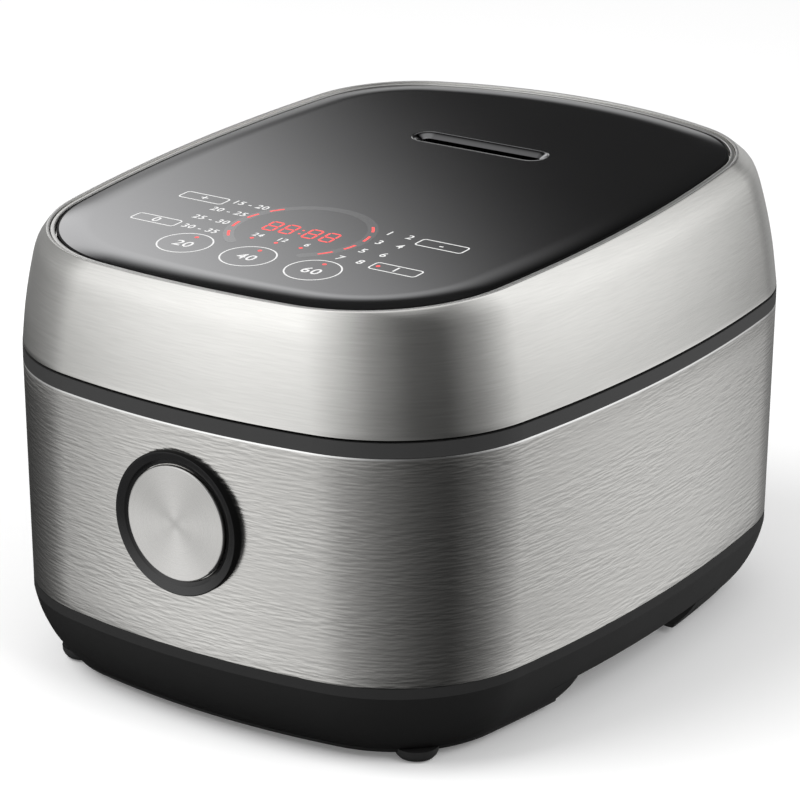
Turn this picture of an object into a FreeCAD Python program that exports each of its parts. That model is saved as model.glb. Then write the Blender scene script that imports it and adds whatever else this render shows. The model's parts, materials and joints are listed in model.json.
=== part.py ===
import FreeCAD, Part
import math
import operator
import os
import Sketcher
from types import SimpleNamespace

# An induction rice cooker: a bowed steel body on a tucked-in base, with a hinged lid and a sloping glossy panel.
# X is to the right, the front faces -Y, Z is up, and the feet stand on Z = 0. Millimetres and degrees.

DRIVING = {
    # plan of the body: a rectangle with bowed sides and large corners
    "body_width": 270,
    "body_depth": 342,
    "side_bow": 714,
    "end_bow": 385,
    "corner_round": 75,
    # heights of the stacked housing
    "foot_height": 6,
    "base_height": 35,
    "wrap_height": 103,
    "band_height": 6.5,
    "seam_gap": 1,
    # base tub
    "base_wall": 2.8,
    "base_floor": 3,
    "base_narrow_side": 0.9,
    "base_narrow_end": 2.8,
    "base_tuck_low": 16.5,
    "base_tuck_quarter": 8,
    "base_tuck_middle": 2.2,
    "base_band": 4.7,
    "grip_length": 104,
    "grip_splay": 16,
    "grip_rise": 13.5,
    "grip_depth": 22,
    "foot_span_x": 184,
    "foot_span_y": 252,
    "foot_radius": 10,
    # steel wrap and collar
    "wrap_wall": 0.8,
    "collar_rim": 3,
    "deck_thickness": 2.5,
    "deck_hole": 113,
    # lid shell and the sloping opening for its panel
    "lid_wall": 2.4,
    "lid_rise": 59.3,
    "lid_tilt": 3.1,
    "lid_forward": 7.9,
    "rim_width": 242,
    "rim_depth": 310.2,
    "rim_front_bow": 520,
    "rim_back_bow": 227,
    "rim_front_round": 71,
    "rim_back_round": 58.5,
    "ledge_width": 9,
    "ledge_depth": 3,
    "panel_proud": 0.3,
    "panel_drop": 1.2,
    "panel_roll": 15,
    "trim_width": 1.4,
    "fit_gap": 0.4,
    # steam outlet in the panel
    "vent_length": 71,
    "vent_width": 16.4,
    "vent_slot_length": 58,
    "vent_slot_width": 4.7,
    "vent_depth": 8,
    "vent_recess": 2.4,
    "vent_back": 64,
    # cooking pot and what surrounds it
    "pot_radius": 108,
    "pot_wall": 2.2,
    "pot_base": 3,
    "pot_flange": 9,
    "pot_flange_thickness": 2,
    "pot_bottom_z": 38,
    "pot_round": 34,
    # lid hinge
    "hinge_y": 166,
    "hinge_z": 159,
    "hinge_pin_radius": 2.5,
    "hinge_barrel_radius": 8,
    "hinge_barrel_width": 66,
    "hinge_ear_width": 12,
    # opening button and latch
    "button_z": 100,
    "button_face_y": -172.6,
    "button_radius": 25.7,
    "bezel_radius": 32,
    "bezel_bore": 26,
    "latch_y": -156.5,
    "latch_z": 124,
    "latch_pin_radius": 2,
    # heater and cooling
    "fan_x": -73,
    "fan_y": 99,
    "fan_size": 50,
    "fan_blades": 7,
    "inlet_x": 34,
    "inlet_z": 25,
}

Vector = FreeCAD.Vector
X_AXIS = Vector(1, 0, 0)
Y_AXIS = Vector(0, 1, 0)
Z_AXIS = Vector(0, 0, 1)
OPERATIONS = {"+": operator.add, "-": operator.sub, "*": operator.mul, "/": operator.truediv}

doc = FreeCAD.newDocument("rice_cooker")
sheet = doc.addObject("Spreadsheet::Sheet", "dim")
for row, (word, number) in enumerate(DRIVING.items(), start=1):
    sheet.set(f"A{row}", word)
    sheet.set(f"B{row}", str(number))
    sheet.setAlias(f"B{row}", word)
doc.recompute()


class Size:
    """A number kept together with the sheet formula that gives it."""

    def __init__(self, value, formula):
        self.value = value
        self.formula = formula

    def __add__(self, other):
        return combine(self, "+", other)

    def __radd__(self, other):
        return combine(other, "+", self)

    def __sub__(self, other):
        return combine(self, "-", other)

    def __rsub__(self, other):
        return combine(other, "-", self)

    def __mul__(self, other):
        return combine(self, "*", other)

    def __rmul__(self, other):
        return combine(other, "*", self)

    def __truediv__(self, other):
        return combine(self, "/", other)

    def __neg__(self):
        return combine(0, "-", self)


def size(number):
    """A plain number becomes a Size, and a Size stays as it is."""
    return number if isinstance(number, Size) else Size(float(number), f"({float(number)!r})")


def combine(left, sign, right):
    left, right = size(left), size(right)
    value = OPERATIONS[sign](left.value, right.value)
    return Size(value, f"({left.formula} {sign} {right.formula})")


def bind(item, path, number):
    item.setExpression(path, size(number).formula)


d = SimpleNamespace(**{word: Size(float(number), f"dim.{word}") for word, number in DRIVING.items()})

# Heights and other sizes that follow from the driving dimensions
base_z = d.foot_height
floor_z = base_z + d.base_floor
wrap_z = base_z + d.base_height
band_z = wrap_z + d.wrap_height
deck_z = band_z + d.deck_thickness
band_top_z = band_z + d.band_height
seam_z = band_top_z + d.seam_gap
rim_z = seam_z + d.lid_rise
pot_outer = d.pot_radius + d.pot_wall
pot_top_z = deck_z + d.pot_flange_thickness


def form(half_width, half_depth, side_bow, front_bow, back_bow, front_round, back_round):
    """The plan of one layer: half sizes, the radii of its bowed sides, and its corner radii."""
    names = ("half_width", "half_depth", "side_bow", "front_bow", "back_bow", "front_round", "back_round")
    values = (half_width, half_depth, side_bow, front_bow, back_bow, front_round, back_round)
    return SimpleNamespace(**dict(zip(names, values)))


def between(first, last, share):
    """A plan part of the way from one plan to another."""
    pairs = zip(vars(first).values(), vars(last).values())
    return form(*[start + (end - start) * share for start, end in pairs])


body_plan = form(
    d.body_width / 2, d.body_depth / 2, d.side_bow, d.end_bow, d.end_bow, d.corner_round, d.corner_round
)
base_plan = form(
    d.body_width / 2 - d.base_narrow_side, d.body_depth / 2 - d.base_narrow_end, d.side_bow, d.end_bow,
    d.end_bow, d.corner_round - d.base_narrow_end, d.corner_round - d.base_narrow_end
)
rim_plan = form(
    d.rim_width / 2, d.rim_depth / 2, d.side_bow, d.rim_front_bow, d.rim_back_bow, d.rim_front_round,
    d.rim_back_round
)


def dimension(sketch, kind, references, number):
    """Add a driving constraint to a sketch and bind it to the sheet."""
    index = sketch.addConstraint(Sketcher.Constraint(kind, *references, size(number).value))
    name = f"size{index}"
    sketch.renameConstraint(index, name)
    bind(sketch, f"Constraints.{name}", number)


def corner_centre(half_width, half_depth, side_bow, end_bow, corner):
    """Centre of a corner arc that is tangent to a bowed side and a bowed end, and its two angles."""
    side_x = half_width - side_bow
    end_y = half_depth - end_bow
    reach_side = side_bow - corner
    reach_end = end_bow - corner
    apart = math.hypot(side_x, end_y)
    along = (reach_side ** 2 - reach_end ** 2 + apart ** 2) / (2 * apart)
    across = math.sqrt(reach_side ** 2 - along ** 2)
    unit_x, unit_y = -side_x / apart, end_y / apart
    x = side_x + unit_x * along - unit_y * across
    y = unit_y * along + unit_x * across
    if x < 0 or y < 0:
        x = side_x + unit_x * along + unit_y * across
        y = unit_y * along - unit_x * across
    return x, y, math.atan2(y, x - side_x), math.atan2(y - end_y, x)


def draw_plan(sketch, plan, inset=0):
    """Draw a bowed rectangle of eight tangent arcs, set in by a distance all round."""
    plan = form(*[number - inset for number in vars(plan).values()])
    width, depth, side, front, back, front_corner, back_corner = [n.value for n in vars(plan).values()]
    bx, by, b0, b1 = corner_centre(width, depth, side, back, back_corner)
    fx, fy, f0, f1 = corner_centre(width, depth, side, front, front_corner)
    half, full = math.pi, 2 * math.pi
    arcs = [
        (width - side, 0, side, -f0, b0),
        (bx, by, back_corner, b0, b1),
        (0, depth - back, back, b1, half - b1),
        (-bx, by, back_corner, half - b1, half - b0),
        (side - width, 0, side, half - b0, half + f0),
        (-fx, -fy, front_corner, half + f0, half + f1),
        (0, front - depth, front, half + f1, full - f1),
        (fx, -fy, front_corner, full - f1, full - f0),
    ]
    first = sketch.GeometryCount
    for x, y, radius, start, end in arcs:
        sketch.addGeometry(Part.ArcOfCircle(Part.Circle(Vector(x, y, 0), Z_AXIS, radius), start, end))
    for step in range(8):
        ahead = first + (step + 1) % 8
        sketch.addConstraint(Sketcher.Constraint("Tangent", first + step, 2, ahead, 1))
    for step, axis in ((0, -1), (4, -1), (2, -2), (6, -2)):
        sketch.addConstraint(Sketcher.Constraint("PointOnObject", first + step, 3, axis))
    radii = (plan.side_bow, plan.back_round, plan.back_bow, plan.back_round)
    radii += (plan.side_bow, plan.front_round, plan.front_bow, plan.front_round)
    for step, radius in enumerate(radii):
        dimension(sketch, "Radius", (first + step,), radius)
    dimension(sketch, "DistanceX", (-1, 1, first, 3), plan.half_width - plan.side_bow)
    dimension(sketch, "DistanceX", (-1, 1, first + 4, 3), plan.side_bow - plan.half_width)
    dimension(sketch, "DistanceY", (-1, 1, first + 2, 3), plan.half_depth - plan.back_bow)
    dimension(sketch, "DistanceY", (-1, 1, first + 6, 3), plan.front_bow - plan.half_depth)


def draw_polygon(sketch, points):
    """Draw a closed outline. A point is (x, y), or (x, y, radius) for a rounded corner."""
    first = sketch.GeometryCount
    count = len(points)
    spots = [Vector(size(p[0]).value, size(p[1]).value, 0) for p in points]
    for step in range(count):
        sketch.addGeometry(Part.LineSegment(spots[step], spots[(step + 1) % count]))
    for step in range(count):
        ahead = first + (step + 1) % count
        sketch.addConstraint(Sketcher.Constraint("Coincident", first + step, 2, ahead, 1))
    for step, point in enumerate(points):
        dimension(sketch, "DistanceX", (-1, 1, first + step, 1), point[0])
        dimension(sketch, "DistanceY", (-1, 1, first + step, 1), point[1])
    for step, point in enumerate(points):
        if len(point) == 3:
            arc = sketch.GeometryCount
            sketch.fillet(first + step, 1, size(point[2]).value, True, True)
            dimension(sketch, "Radius", (arc,), point[2])


def draw_circle(sketch, x, y, radius):
    spot = Vector(size(x).value, size(y).value, 0)
    circle = sketch.addGeometry(Part.Circle(spot, Z_AXIS, size(radius).value))
    dimension(sketch, "DistanceX", (-1, 1, circle, 3), x)
    dimension(sketch, "DistanceY", (-1, 1, circle, 3), y)
    dimension(sketch, "Radius", (circle,), radius)


def rectangle(low_x, low_y, high_x, high_y):
    return [(low_x, low_y), (high_x, low_y), (high_x, high_y), (low_x, high_y)]


class Piece:
    """One moulded, pressed or turned piece: a body whose features follow each other."""

    def __init__(self, label):
        self.label = label
        self.body = doc.addObject("PartDesign::Body", label)

    def sketch(self, role, lift=0):
        sketch = self.body.newObject("Sketcher::SketchObject", f"{self.label}_sketch")
        planes = [feature for feature in self.body.Origin.OriginFeatures if feature.Role == role]
        sketch.AttachmentSupport = [(planes[0], "")]
        sketch.MapMode = "FlatFace"
        bind(sketch, "AttachmentOffset.Base.z", lift)
        return sketch

    def feature(self, kind, sketch):
        feature = self.body.newObject(f"PartDesign::{kind}", f"{self.label}_{kind.lower()}")
        feature.Profile = sketch
        return feature

    def pad(self, sketch, length, symmetric=False):
        feature = self.feature("Pad", sketch)
        bind(feature, "Length", length)
        feature.SideType = "Symmetric" if symmetric else "One side"
        return feature

    def pocket(self, sketch, length, symmetric=False):
        feature = self.feature("Pocket", sketch)
        bind(feature, "Length", length)
        feature.SideType = "Symmetric" if symmetric else "One side"
        return feature

    def slab(self, low, high, plan=None, insets=(), polygons=(), circles=()):
        """Pad any mix of plans, polygons and circles from one height to another."""
        sketch = self.sketch("XY_Plane", low)
        for inset in insets:
            draw_plan(sketch, plan, inset)
        for polygon in polygons:
            draw_polygon(sketch, polygon)
        for circle in circles:
            draw_circle(sketch, *circle)
        return self.pad(sketch, high - low)

    def bore(self, low, high, polygons=(), circles=()):
        """Cut polygons and circles away between two heights."""
        sketch = self.sketch("XY_Plane", high)
        for polygon in polygons:
            draw_polygon(sketch, polygon)
        for circle in circles:
            draw_circle(sketch, *circle)
        return self.pocket(sketch, high - low)

    def turn(self, points, role="XZ_Plane"):
        """Revolve a half profile about its vertical sketch axis."""
        sketch = self.sketch(role)
        draw_polygon(sketch, points)
        feature = self.feature("Revolution", sketch)
        feature.ReferenceAxis = (sketch, ["V_Axis"])
        feature.Angle = 360
        return feature

    def crown(self, plan, layers):
        """Loft upwards through one plan at several insets, given as (inset, height)."""
        sketches = []
        for inset, height in layers:
            sketch = self.sketch("XY_Plane", height)
            draw_plan(sketch, plan, inset)
            sketches.append(sketch)
        feature = self.feature("AdditiveLoft", sketches[0])
        feature.Sections = sketches[1:]
        return feature

    def place(self, x=0, y=0, z=0):
        place(self.body, x, y, z)
        return self


def place(item, x=0, y=0, z=0):
    for axis, number in zip("xyz", (x, y, z)):
        bind(item, f".Placement.Base.{axis}", number)


def lay_on_rim(item):
    """Move a piece that is drawn about the lid's opening onto that sloping plane."""
    item.Placement = FreeCAD.Placement(Vector(), FreeCAD.Rotation(X_AXIS, 1))
    place(item, 0, -d.lid_forward, rim_z)
    bind(item, ".Placement.Rotation.Angle", d.lid_tilt)


def box(name, low, high):
    item = doc.addObject("Part::Box", name)
    for path, start, end in zip(("Length", "Width", "Height"), low, high):
        bind(item, path, size(end) - start)
    place(item, *low)
    return item


def rod(name, foot, radius, length, axis=Z_AXIS):
    item = doc.addObject("Part::Cylinder", name)
    bind(item, "Radius", radius)
    bind(item, "Height", length)
    item.Placement = FreeCAD.Placement(Vector(), FreeCAD.Rotation(Z_AXIS, axis))
    place(item, *foot)
    return item


def joined(name, pieces):
    item = doc.addObject("Part::MultiFuse", name)
    item.Shapes = pieces
    return item


def cut(name, base, tools):
    item = doc.addObject("Part::Cut", name)
    item.Base = base
    item.Tool = tools[0] if len(tools) == 1 else joined(f"{name}_tools", tools)
    return item


def group(name, pieces):
    """Several separate solids of one kind in one node."""
    item = doc.addObject("Part::Compound", name)
    item.Links = pieces
    return item


def lofted(name, sections, ruled=False):
    """A solid through plans given as (plan, inset, height, forward, tilt)."""
    sketches = []
    for plan, inset, height, forward, tilt in sections:
        sketch = doc.addObject("Sketcher::SketchObject", f"{name}_section")
        draw_plan(sketch, plan, inset)
        sketch.Placement = FreeCAD.Placement(Vector(), FreeCAD.Rotation(X_AXIS, 1))
        place(sketch, 0, -size(forward), height)
        bind(sketch, ".Placement.Rotation.Angle", tilt)
        sketches.append(sketch)
    item = doc.addObject("Part::Loft", name)
    item.Sections = sketches
    item.Solid = True
    item.Ruled = ruled
    return item


def spring(name, axis, foot, radius, wire, length, turns):
    """A round-wire coil along an axis, each quarter turn drawn as two tangent arcs."""
    radius, wire, length = [size(number).value for number in (radius, wire, length)]
    foot = Vector(*[size(number).value for number in foot])
    climb = (length - 2 * wire) / (2 * math.pi * turns)
    steps = round(4 * turns)

    def point(angle):
        return Vector(radius * math.cos(angle), radius * math.sin(angle), wire + climb * angle)

    def heading(angle):
        return Vector(-radius * math.sin(angle), radius * math.cos(angle), climb).normalize()

    def arc(start, corner, end):
        middle = (start + end) / 2
        half_chord = (end - start).Length / 2
        turn = 2 * math.acos(min(1, half_chord / (corner - start).Length))
        rise = (corner - middle).normalize() * half_chord * math.tan(turn / 4)
        return Part.Arc(start, middle + rise, end).toShape()

    edges = []
    for step in range(steps):
        a, b = step * math.pi / 2, (step + 1) * math.pi / 2
        start, end, leave, arrive = point(a), point(b), heading(a), heading(b)
        chord, both = end - start, leave + arrive
        spread = 2 * (1 - leave.dot(arrive))
        reach = (-chord.dot(both) + math.sqrt(chord.dot(both) ** 2 + spread * chord.dot(chord))) / spread
        first, second = start + leave * reach, end - arrive * reach
        middle = (first + second) / 2
        edges += [arc(start, first, middle), arc(middle, second, end)]
    section = Part.Wire(Part.Circle(point(0), heading(0), wire).toShape())
    item = doc.addObject("Part::Feature", name)
    item.Shape = Part.Wire(edges).makePipeShell([section], True, False)
    item.Placement = FreeCAD.Placement(foot, FreeCAD.Rotation(Z_AXIS, axis))
    gap = 2 * math.pi * climb - 2 * wire
    print(f"{name}: {turns} turns, least gap between turns {gap:.2f} mm")
    return item


nodes = []


def keep(*pieces):
    nodes.extend(piece.body if isinstance(piece, Piece) else piece for piece in pieces)


# Base tub: tucked-in moulding with a hand grip each side, an inlet niche and floor vents
board_z = floor_z + 7
crease_z = wrap_z - d.base_band
grip_top_z = base_z + d.grip_rise
grip_x = d.body_width / 2 - d.grip_depth - 9
inlet_half_width = 15
inlet_half_height = 10.3
inlet_back_y = d.body_depth / 2 - 32
beyond_x = d.body_width / 2 + 10
beyond_y = d.body_depth / 2 + 10


def tub(name, wall, low_z):
    """The tub's outer or inner surface: tucked in from low_z to a crease, and upright above it."""
    lift = low_z - base_z
    tucked = lofted(f"{name}_tuck", [
        (base_plan, d.base_tuck_low + wall - lift * 0.9, low_z, 0, 0),
        (base_plan, d.base_tuck_quarter + wall, base_z + 10, 0, 0),
        (base_plan, d.base_tuck_middle + wall, base_z + 22, 0, 0),
        (base_plan, wall, crease_z, 0, 0),
    ])
    upright = Piece(f"{name}_band")
    upright.slab(crease_z, wrap_z, base_plan, [wall])
    return joined(name, [tucked, upright.body])


def grip(name, side, grow):
    """A finger recess under one side of the tub, or with grow its moulded lining."""
    half = d.grip_length / 2 + grow
    foot = half + d.grip_splay
    piece = Piece(name)
    start = grip_x - grow
    sketch = piece.sketch("YZ_Plane", start if side > 0 else -beyond_x)
    top = grip_top_z + grow
    draw_polygon(sketch, [(-foot, base_z - 1), (foot, base_z - 1), (half, top), (-half, top)])
    piece.pad(sketch, beyond_x - start)
    return piece.body


def floor_slots(name, centre_x, centre_y):
    """A row of seven air slots in the tub's floor."""
    slots = []
    for step in range(7):
        middle = centre_x + (step - 3) * 6.5
        low = (middle - 1.6, centre_y - 19, base_z - 1)
        slots.append(box(f"{name}_{step}", low, (middle + 1.6, centre_y + 19, floor_z + 1)))
    return slots


board_low = (-44, 88)
board_high = (62, 134)
peg_spots = [(x, y) for x in (board_low[0] + 5, board_high[0] - 5) for y in (board_low[1] + 5, board_high[1] - 5)]
pegs = [rod(f"board_peg_{n}", (x, y, base_z), 3, board_z - base_z) for n, (x, y) in enumerate(peg_spots)]
inlet_lining = box(
    "inlet_lining", (d.inlet_x - inlet_half_width - 3, inlet_back_y - 2.6, base_z),
    (d.inlet_x + inlet_half_width + 3, beyond_y, d.inlet_z + inlet_half_height + 3)
)
inlet_niche = box(
    "inlet_niche", (d.inlet_x - inlet_half_width, inlet_back_y, d.inlet_z - inlet_half_height),
    (d.inlet_x + inlet_half_width, beyond_y, d.inlet_z + inlet_half_height)
)
linings = [grip("grip_lining_right", 1, 2.6), grip("grip_lining_left", -1, 2.6)]
recesses = [grip("grip_right", 1, 0), grip("grip_left", -1, 0)]
tub_hollow = cut("tub_hollow", tub("tub_inside", d.base_wall, floor_z), linings + [inlet_lining] + pegs)
tub_wall = cut("tub_wall", tub("tub_outside", size(0), base_z), [tub_hollow])
vents = floor_slots("fan_slot", d.fan_x, d.fan_y) + floor_slots("air_slot", 70, 100)
keep(cut("base_housing", tub_wall, recesses + [inlet_niche] + vents))


def foot(number, side_x, side_y):
    """A turned foot with a well rounded lower edge."""
    piece = Piece(f"foot_{number}").place(d.foot_span_x / 2 * side_x, d.foot_span_y / 2 * side_y, 0)
    piece.turn([
        (0, 0), (d.foot_radius - 0.8, 0, 3), (d.foot_radius, d.foot_height), (0, d.foot_height)
    ])
    return piece.body


corners = [(x, y) for x in (-1, 1) for y in (-1, 1)]
keep(group("rubber_feet", [foot(number, *corner) for number, corner in enumerate(corners)]))


# Steel wrap with the round hole for the button's bezel
def wrap(name, inset):
    return lofted(name, [(base_plan, inset, wrap_z, 0, 0), (body_plan, inset, band_z, 0, 0)], ruled=True)


button_hole = rod("button_hole", (0, -beyond_y, d.button_z), d.bezel_radius + 0.2, d.body_depth / 4, Y_AXIS)
keep(cut("steel_wrap", wrap("wrap_outside", size(0)), [wrap("wrap_inside", d.wrap_wall), button_hole]))

# Collar: the black band under the lid, its deck round the pot, and the latch cheeks below it
collar = Piece("upper_collar")
collar.slab(band_z, deck_z, body_plan, [size(0)], circles=[(0, 0, d.deck_hole)])
collar.slab(deck_z, band_top_z, body_plan, [size(0), d.collar_rim])
collar.slab(band_z - 8, band_z, body_plan, [d.wrap_wall + 0.3, d.wrap_wall + 2.3])
cheek_in, cheek_out = 13, 16
cheek_front, cheek_back = d.latch_y - 5, d.latch_y + 7
cheeks = [
    rectangle(cheek_in, cheek_front, cheek_out, cheek_back),
    rectangle(-cheek_out, cheek_front, -cheek_in, cheek_back),
]
collar.slab(d.latch_z - 7, band_z, polygons=cheeks)
collar.bore(band_z, deck_z, polygons=[rectangle(-12, d.latch_y - 6.5, 12, d.latch_y + 13)])
latch_bore = collar.sketch("YZ_Plane")
draw_circle(latch_bore, d.latch_y, d.latch_z, d.latch_pin_radius)
collar.pocket(latch_bore, 2 * cheek_out + 2, symmetric=True)
keep(collar)

# Inner housing and the bowl that carries the pot's heat
well_radius = d.deck_hole + 0.5
bowl_top_z = d.pot_bottom_z + 28
bowl_inside_z = d.pot_bottom_z - 2
bowl_under_z = bowl_inside_z - 2.5
inner_housing = Piece("inner_housing")
inner_housing.turn([
    (well_radius, bowl_top_z), (well_radius + 2, bowl_top_z), (well_radius + 2, band_z), (well_radius, band_z)
])
coil_bowl = Piece("coil_bowl")
coil_bowl.turn([
    (16, bowl_under_z), (84.7, bowl_under_z, 8), (108, 46.2, 12), (well_radius + 2, bowl_top_z - 2),
    (well_radius + 2, bowl_top_z), (well_radius, bowl_top_z), (106, 48, 12), (84, bowl_inside_z, 8),
    (16, bowl_inside_z)
])
keep(inner_housing, coil_bowl)

# Pot: a spun bowl with a thick base and a flange that hangs on the deck
pot = Piece("inner_pot")
pot.turn([
    (0, d.pot_bottom_z), (pot_outer, d.pot_bottom_z, d.pot_round), (pot_outer, deck_z, 1),
    (pot_outer + d.pot_flange, deck_z), (pot_outer + d.pot_flange, pot_top_z),
    (d.pot_radius, pot_top_z, 3), (d.pot_radius, d.pot_bottom_z + d.pot_base, d.pot_round - d.pot_wall),
    (0, d.pot_bottom_z + d.pot_base)
])
keep(pot)

# Induction coil, its ferrites and their support
coil_under_z = bowl_under_z - 4.5
ferrite_under_z = coil_under_z - 5
support_under_z = ferrite_under_z - 2.5
coil = Piece("induction_coil")
coil.turn([(26, coil_under_z), (80, coil_under_z), (80, bowl_under_z), (26, bowl_under_z)])
keep(coil)

ferrites = []
for step in range(6):
    bar = box(f"ferrite_{step}", (30, -4.5, ferrite_under_z), (74, 4.5, coil_under_z))
    turned = FreeCAD.Rotation(Z_AXIS, 60 * step)
    swing = turned.multVec(Vector(30, -4.5, 0))
    bar.Placement = FreeCAD.Placement(Vector(), turned)
    place(bar, swing.x, swing.y, ferrite_under_z)
    ferrites.append(bar)
keep(group("ferrite_bars", ferrites))

support_plate = rod("support_plate", (0, 0, support_under_z), 88, ferrite_under_z - support_under_z)
support_legs = []
for step in range(3):
    angle = math.radians(90 + 120 * step)
    spot = (80 * math.cos(angle), 80 * math.sin(angle), floor_z)
    support_legs.append(rod(f"support_leg_{step}", spot, 5, ferrite_under_z - floor_z))
support_hole = rod("support_hole", (0, 0, base_z), 9.5, ferrite_under_z)
keep(cut("coil_support", joined("support_body", [support_plate] + support_legs), [support_hole]))

# Sensor that a spring holds up against the pot
cap_top_z = d.pot_bottom_z - 0.3
cap_under_z = cap_top_z - 3.5
holder_top_z = ferrite_under_z + 1.5
sensor_cap = Piece("sensor_cap")
sensor_cap.turn([
    (0, support_under_z - 4), (5, support_under_z - 4), (5, cap_under_z), (12.5, cap_under_z),
    (12.5, cap_top_z, 1), (0, cap_top_z)
])
sensor_holder = Piece("sensor_holder")
sensor_holder.turn([
    (5.3, support_under_z - 5), (9.5, support_under_z - 5), (9.5, ferrite_under_z), (14, ferrite_under_z),
    (14, holder_top_z), (5.3, holder_top_z)
])
sensor_spring = spring("sensor_spring", Z_AXIS, (0, 0, holder_top_z), 8, 0.6, cap_under_z - holder_top_z, 4)
keep(sensor_cap, sensor_holder, sensor_spring)

# Power board with its heat sink and capacitor
board = box("power_board", (*board_low, board_z), (*board_high, board_z + 1.6))
board_top_z = board_z + 1.6
sink_foot = box("sink_foot", (-38, 100, board_top_z), (6, 130, board_top_z + 4))
fins = [
    box(f"sink_fin_{n}", (-38 + 7 * n, 100, board_top_z + 3), (-36 + 7 * n, 130, board_top_z + 22))
    for n in range(7)
]
capacitor = box("resonance_capacitor", (16, 108, board_top_z), (48, 126, board_top_z + 20))
keep(board, joined("heat_sink", [sink_foot] + fins), capacitor)

# Cooling fan on the floor vents
fan_half = d.fan_size / 2
fan_bore = fan_half - 1.5
fan_spot = (d.fan_x, d.fan_y)
fan_block = box(
    "fan_block", (d.fan_x - fan_half, d.fan_y - fan_half, floor_z),
    (d.fan_x + fan_half, d.fan_y + fan_half, floor_z + 15)
)
fan_open = rod("fan_open", (*fan_spot, floor_z - 1), fan_bore, 17)
fan_motor = rod("fan_motor", (*fan_spot, floor_z + 1), 11, 3.5)
struts = [
    box("fan_strut_x", (d.fan_x - fan_half + 1, d.fan_y - 1.5, floor_z), (d.fan_x + fan_half - 1, d.fan_y + 1.5,
        floor_z + 2.5)),
    box("fan_strut_y", (d.fan_x - 1.5, d.fan_y - fan_half + 1, floor_z), (d.fan_x + 1.5, d.fan_y + fan_half - 1,
        floor_z + 2.5)),
]
keep(joined("fan_frame", [cut("fan_ring", fan_block, [fan_open]), fan_motor] + struts))

rotor_parts = [rod("fan_hub", (*fan_spot, floor_z + 4.8), 11, 9)]
for step in range(DRIVING["fan_blades"]):
    blade = box(f"fan_blade_{step}", (10, -5.5, -0.6), (22, 5.5, 0.6))
    swivel = FreeCAD.Rotation(Z_AXIS, 360 / DRIVING["fan_blades"] * step)
    pitch = FreeCAD.Rotation(X_AXIS, 38)
    corner = swivel.multVec(pitch.multVec(Vector(10, -5.5, -0.6)))
    blade.Placement = FreeCAD.Placement(Vector(), swivel.multiply(pitch))
    place(blade, d.fan_x + corner.x, d.fan_y + corner.y, floor_z + 9.3 + corner.z)
    rotor_parts.append(blade)
keep(joined("fan_rotor", rotor_parts))

# Power inlet: a three-pin socket at the back of its niche
inlet_face_y = inlet_back_y + 16
socket_low_z = d.inlet_z - 8.2
socket_high_z = d.inlet_z + 8.2
inlet = Piece("power_inlet")
inlet_front = inlet.sketch("XZ_Plane", -inlet_face_y)
draw_polygon(inlet_front, rectangle(
    d.inlet_x - inlet_half_width, d.inlet_z - inlet_half_height, d.inlet_x + inlet_half_width,
    d.inlet_z + inlet_half_height
))
inlet.pad(inlet_front, inlet_face_y - inlet_back_y)
socket = inlet.sketch("XZ_Plane", -inlet_face_y)
draw_polygon(socket, [
    (d.inlet_x - 12.2, socket_low_z), (d.inlet_x + 12.2, socket_low_z), (d.inlet_x + 12.2, socket_high_z - 5),
    (d.inlet_x + 7.5, socket_high_z), (d.inlet_x - 7.5, socket_high_z), (d.inlet_x - 12.2, socket_high_z - 5)
])
socket_cut = inlet.pocket(socket, 14.5)
socket_cut.Reversed = True
keep(inlet)
pins = []
for number, (across, up) in enumerate(((-7, -2.5), (7, -2.5), (0, 2.5))):
    low = (d.inlet_x + across - 1, inlet_back_y + 1.5, d.inlet_z + up - 2)
    pins.append(box(f"inlet_pin_{number}", low, (d.inlet_x + across + 1, inlet_back_y + 11, d.inlet_z + up + 2)))
keep(group("inlet_pins", pins))

# Opening button in its bezel, with the spring that returns it
bezel_back_y = d.button_face_y + 8.1
cap_inner_y = d.button_face_y + 2
lever_front_y = d.latch_y - 2
bezel = Piece("button_bezel").place(z=d.button_z)
bezel.turn([
    (7, bezel_back_y), (d.bezel_bore, bezel_back_y), (d.bezel_bore, d.button_face_y + 0.6, 0.8),
    (d.bezel_radius - 2, d.button_face_y - 0.6, 0.8), (d.bezel_radius, d.button_face_y + 2),
    (d.bezel_radius, d.button_face_y + 5.5), (d.bezel_bore + 2, d.button_face_y + 5.5),
    (d.bezel_bore + 2, bezel_back_y + 1.7), (7, bezel_back_y + 1.7)
], "XY_Plane")
button = Piece("button_cap").place(z=d.button_z)
button.turn([
    (0, d.button_face_y), (d.button_radius, d.button_face_y, 0.8), (d.button_radius, d.button_face_y + 4.6),
    (d.button_radius - 1.6, d.button_face_y + 4.6), (d.button_radius - 1.6, cap_inner_y), (5, cap_inner_y),
    (5, lever_front_y - 0.3), (0, lever_front_y - 0.3)
], "XY_Plane")
button_spring = spring(
    "button_spring", Y_AXIS, (0, cap_inner_y, d.button_z), 10, 0.4, bezel_back_y - cap_inner_y, 3
)
keep(bezel, button, button_spring)

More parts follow.
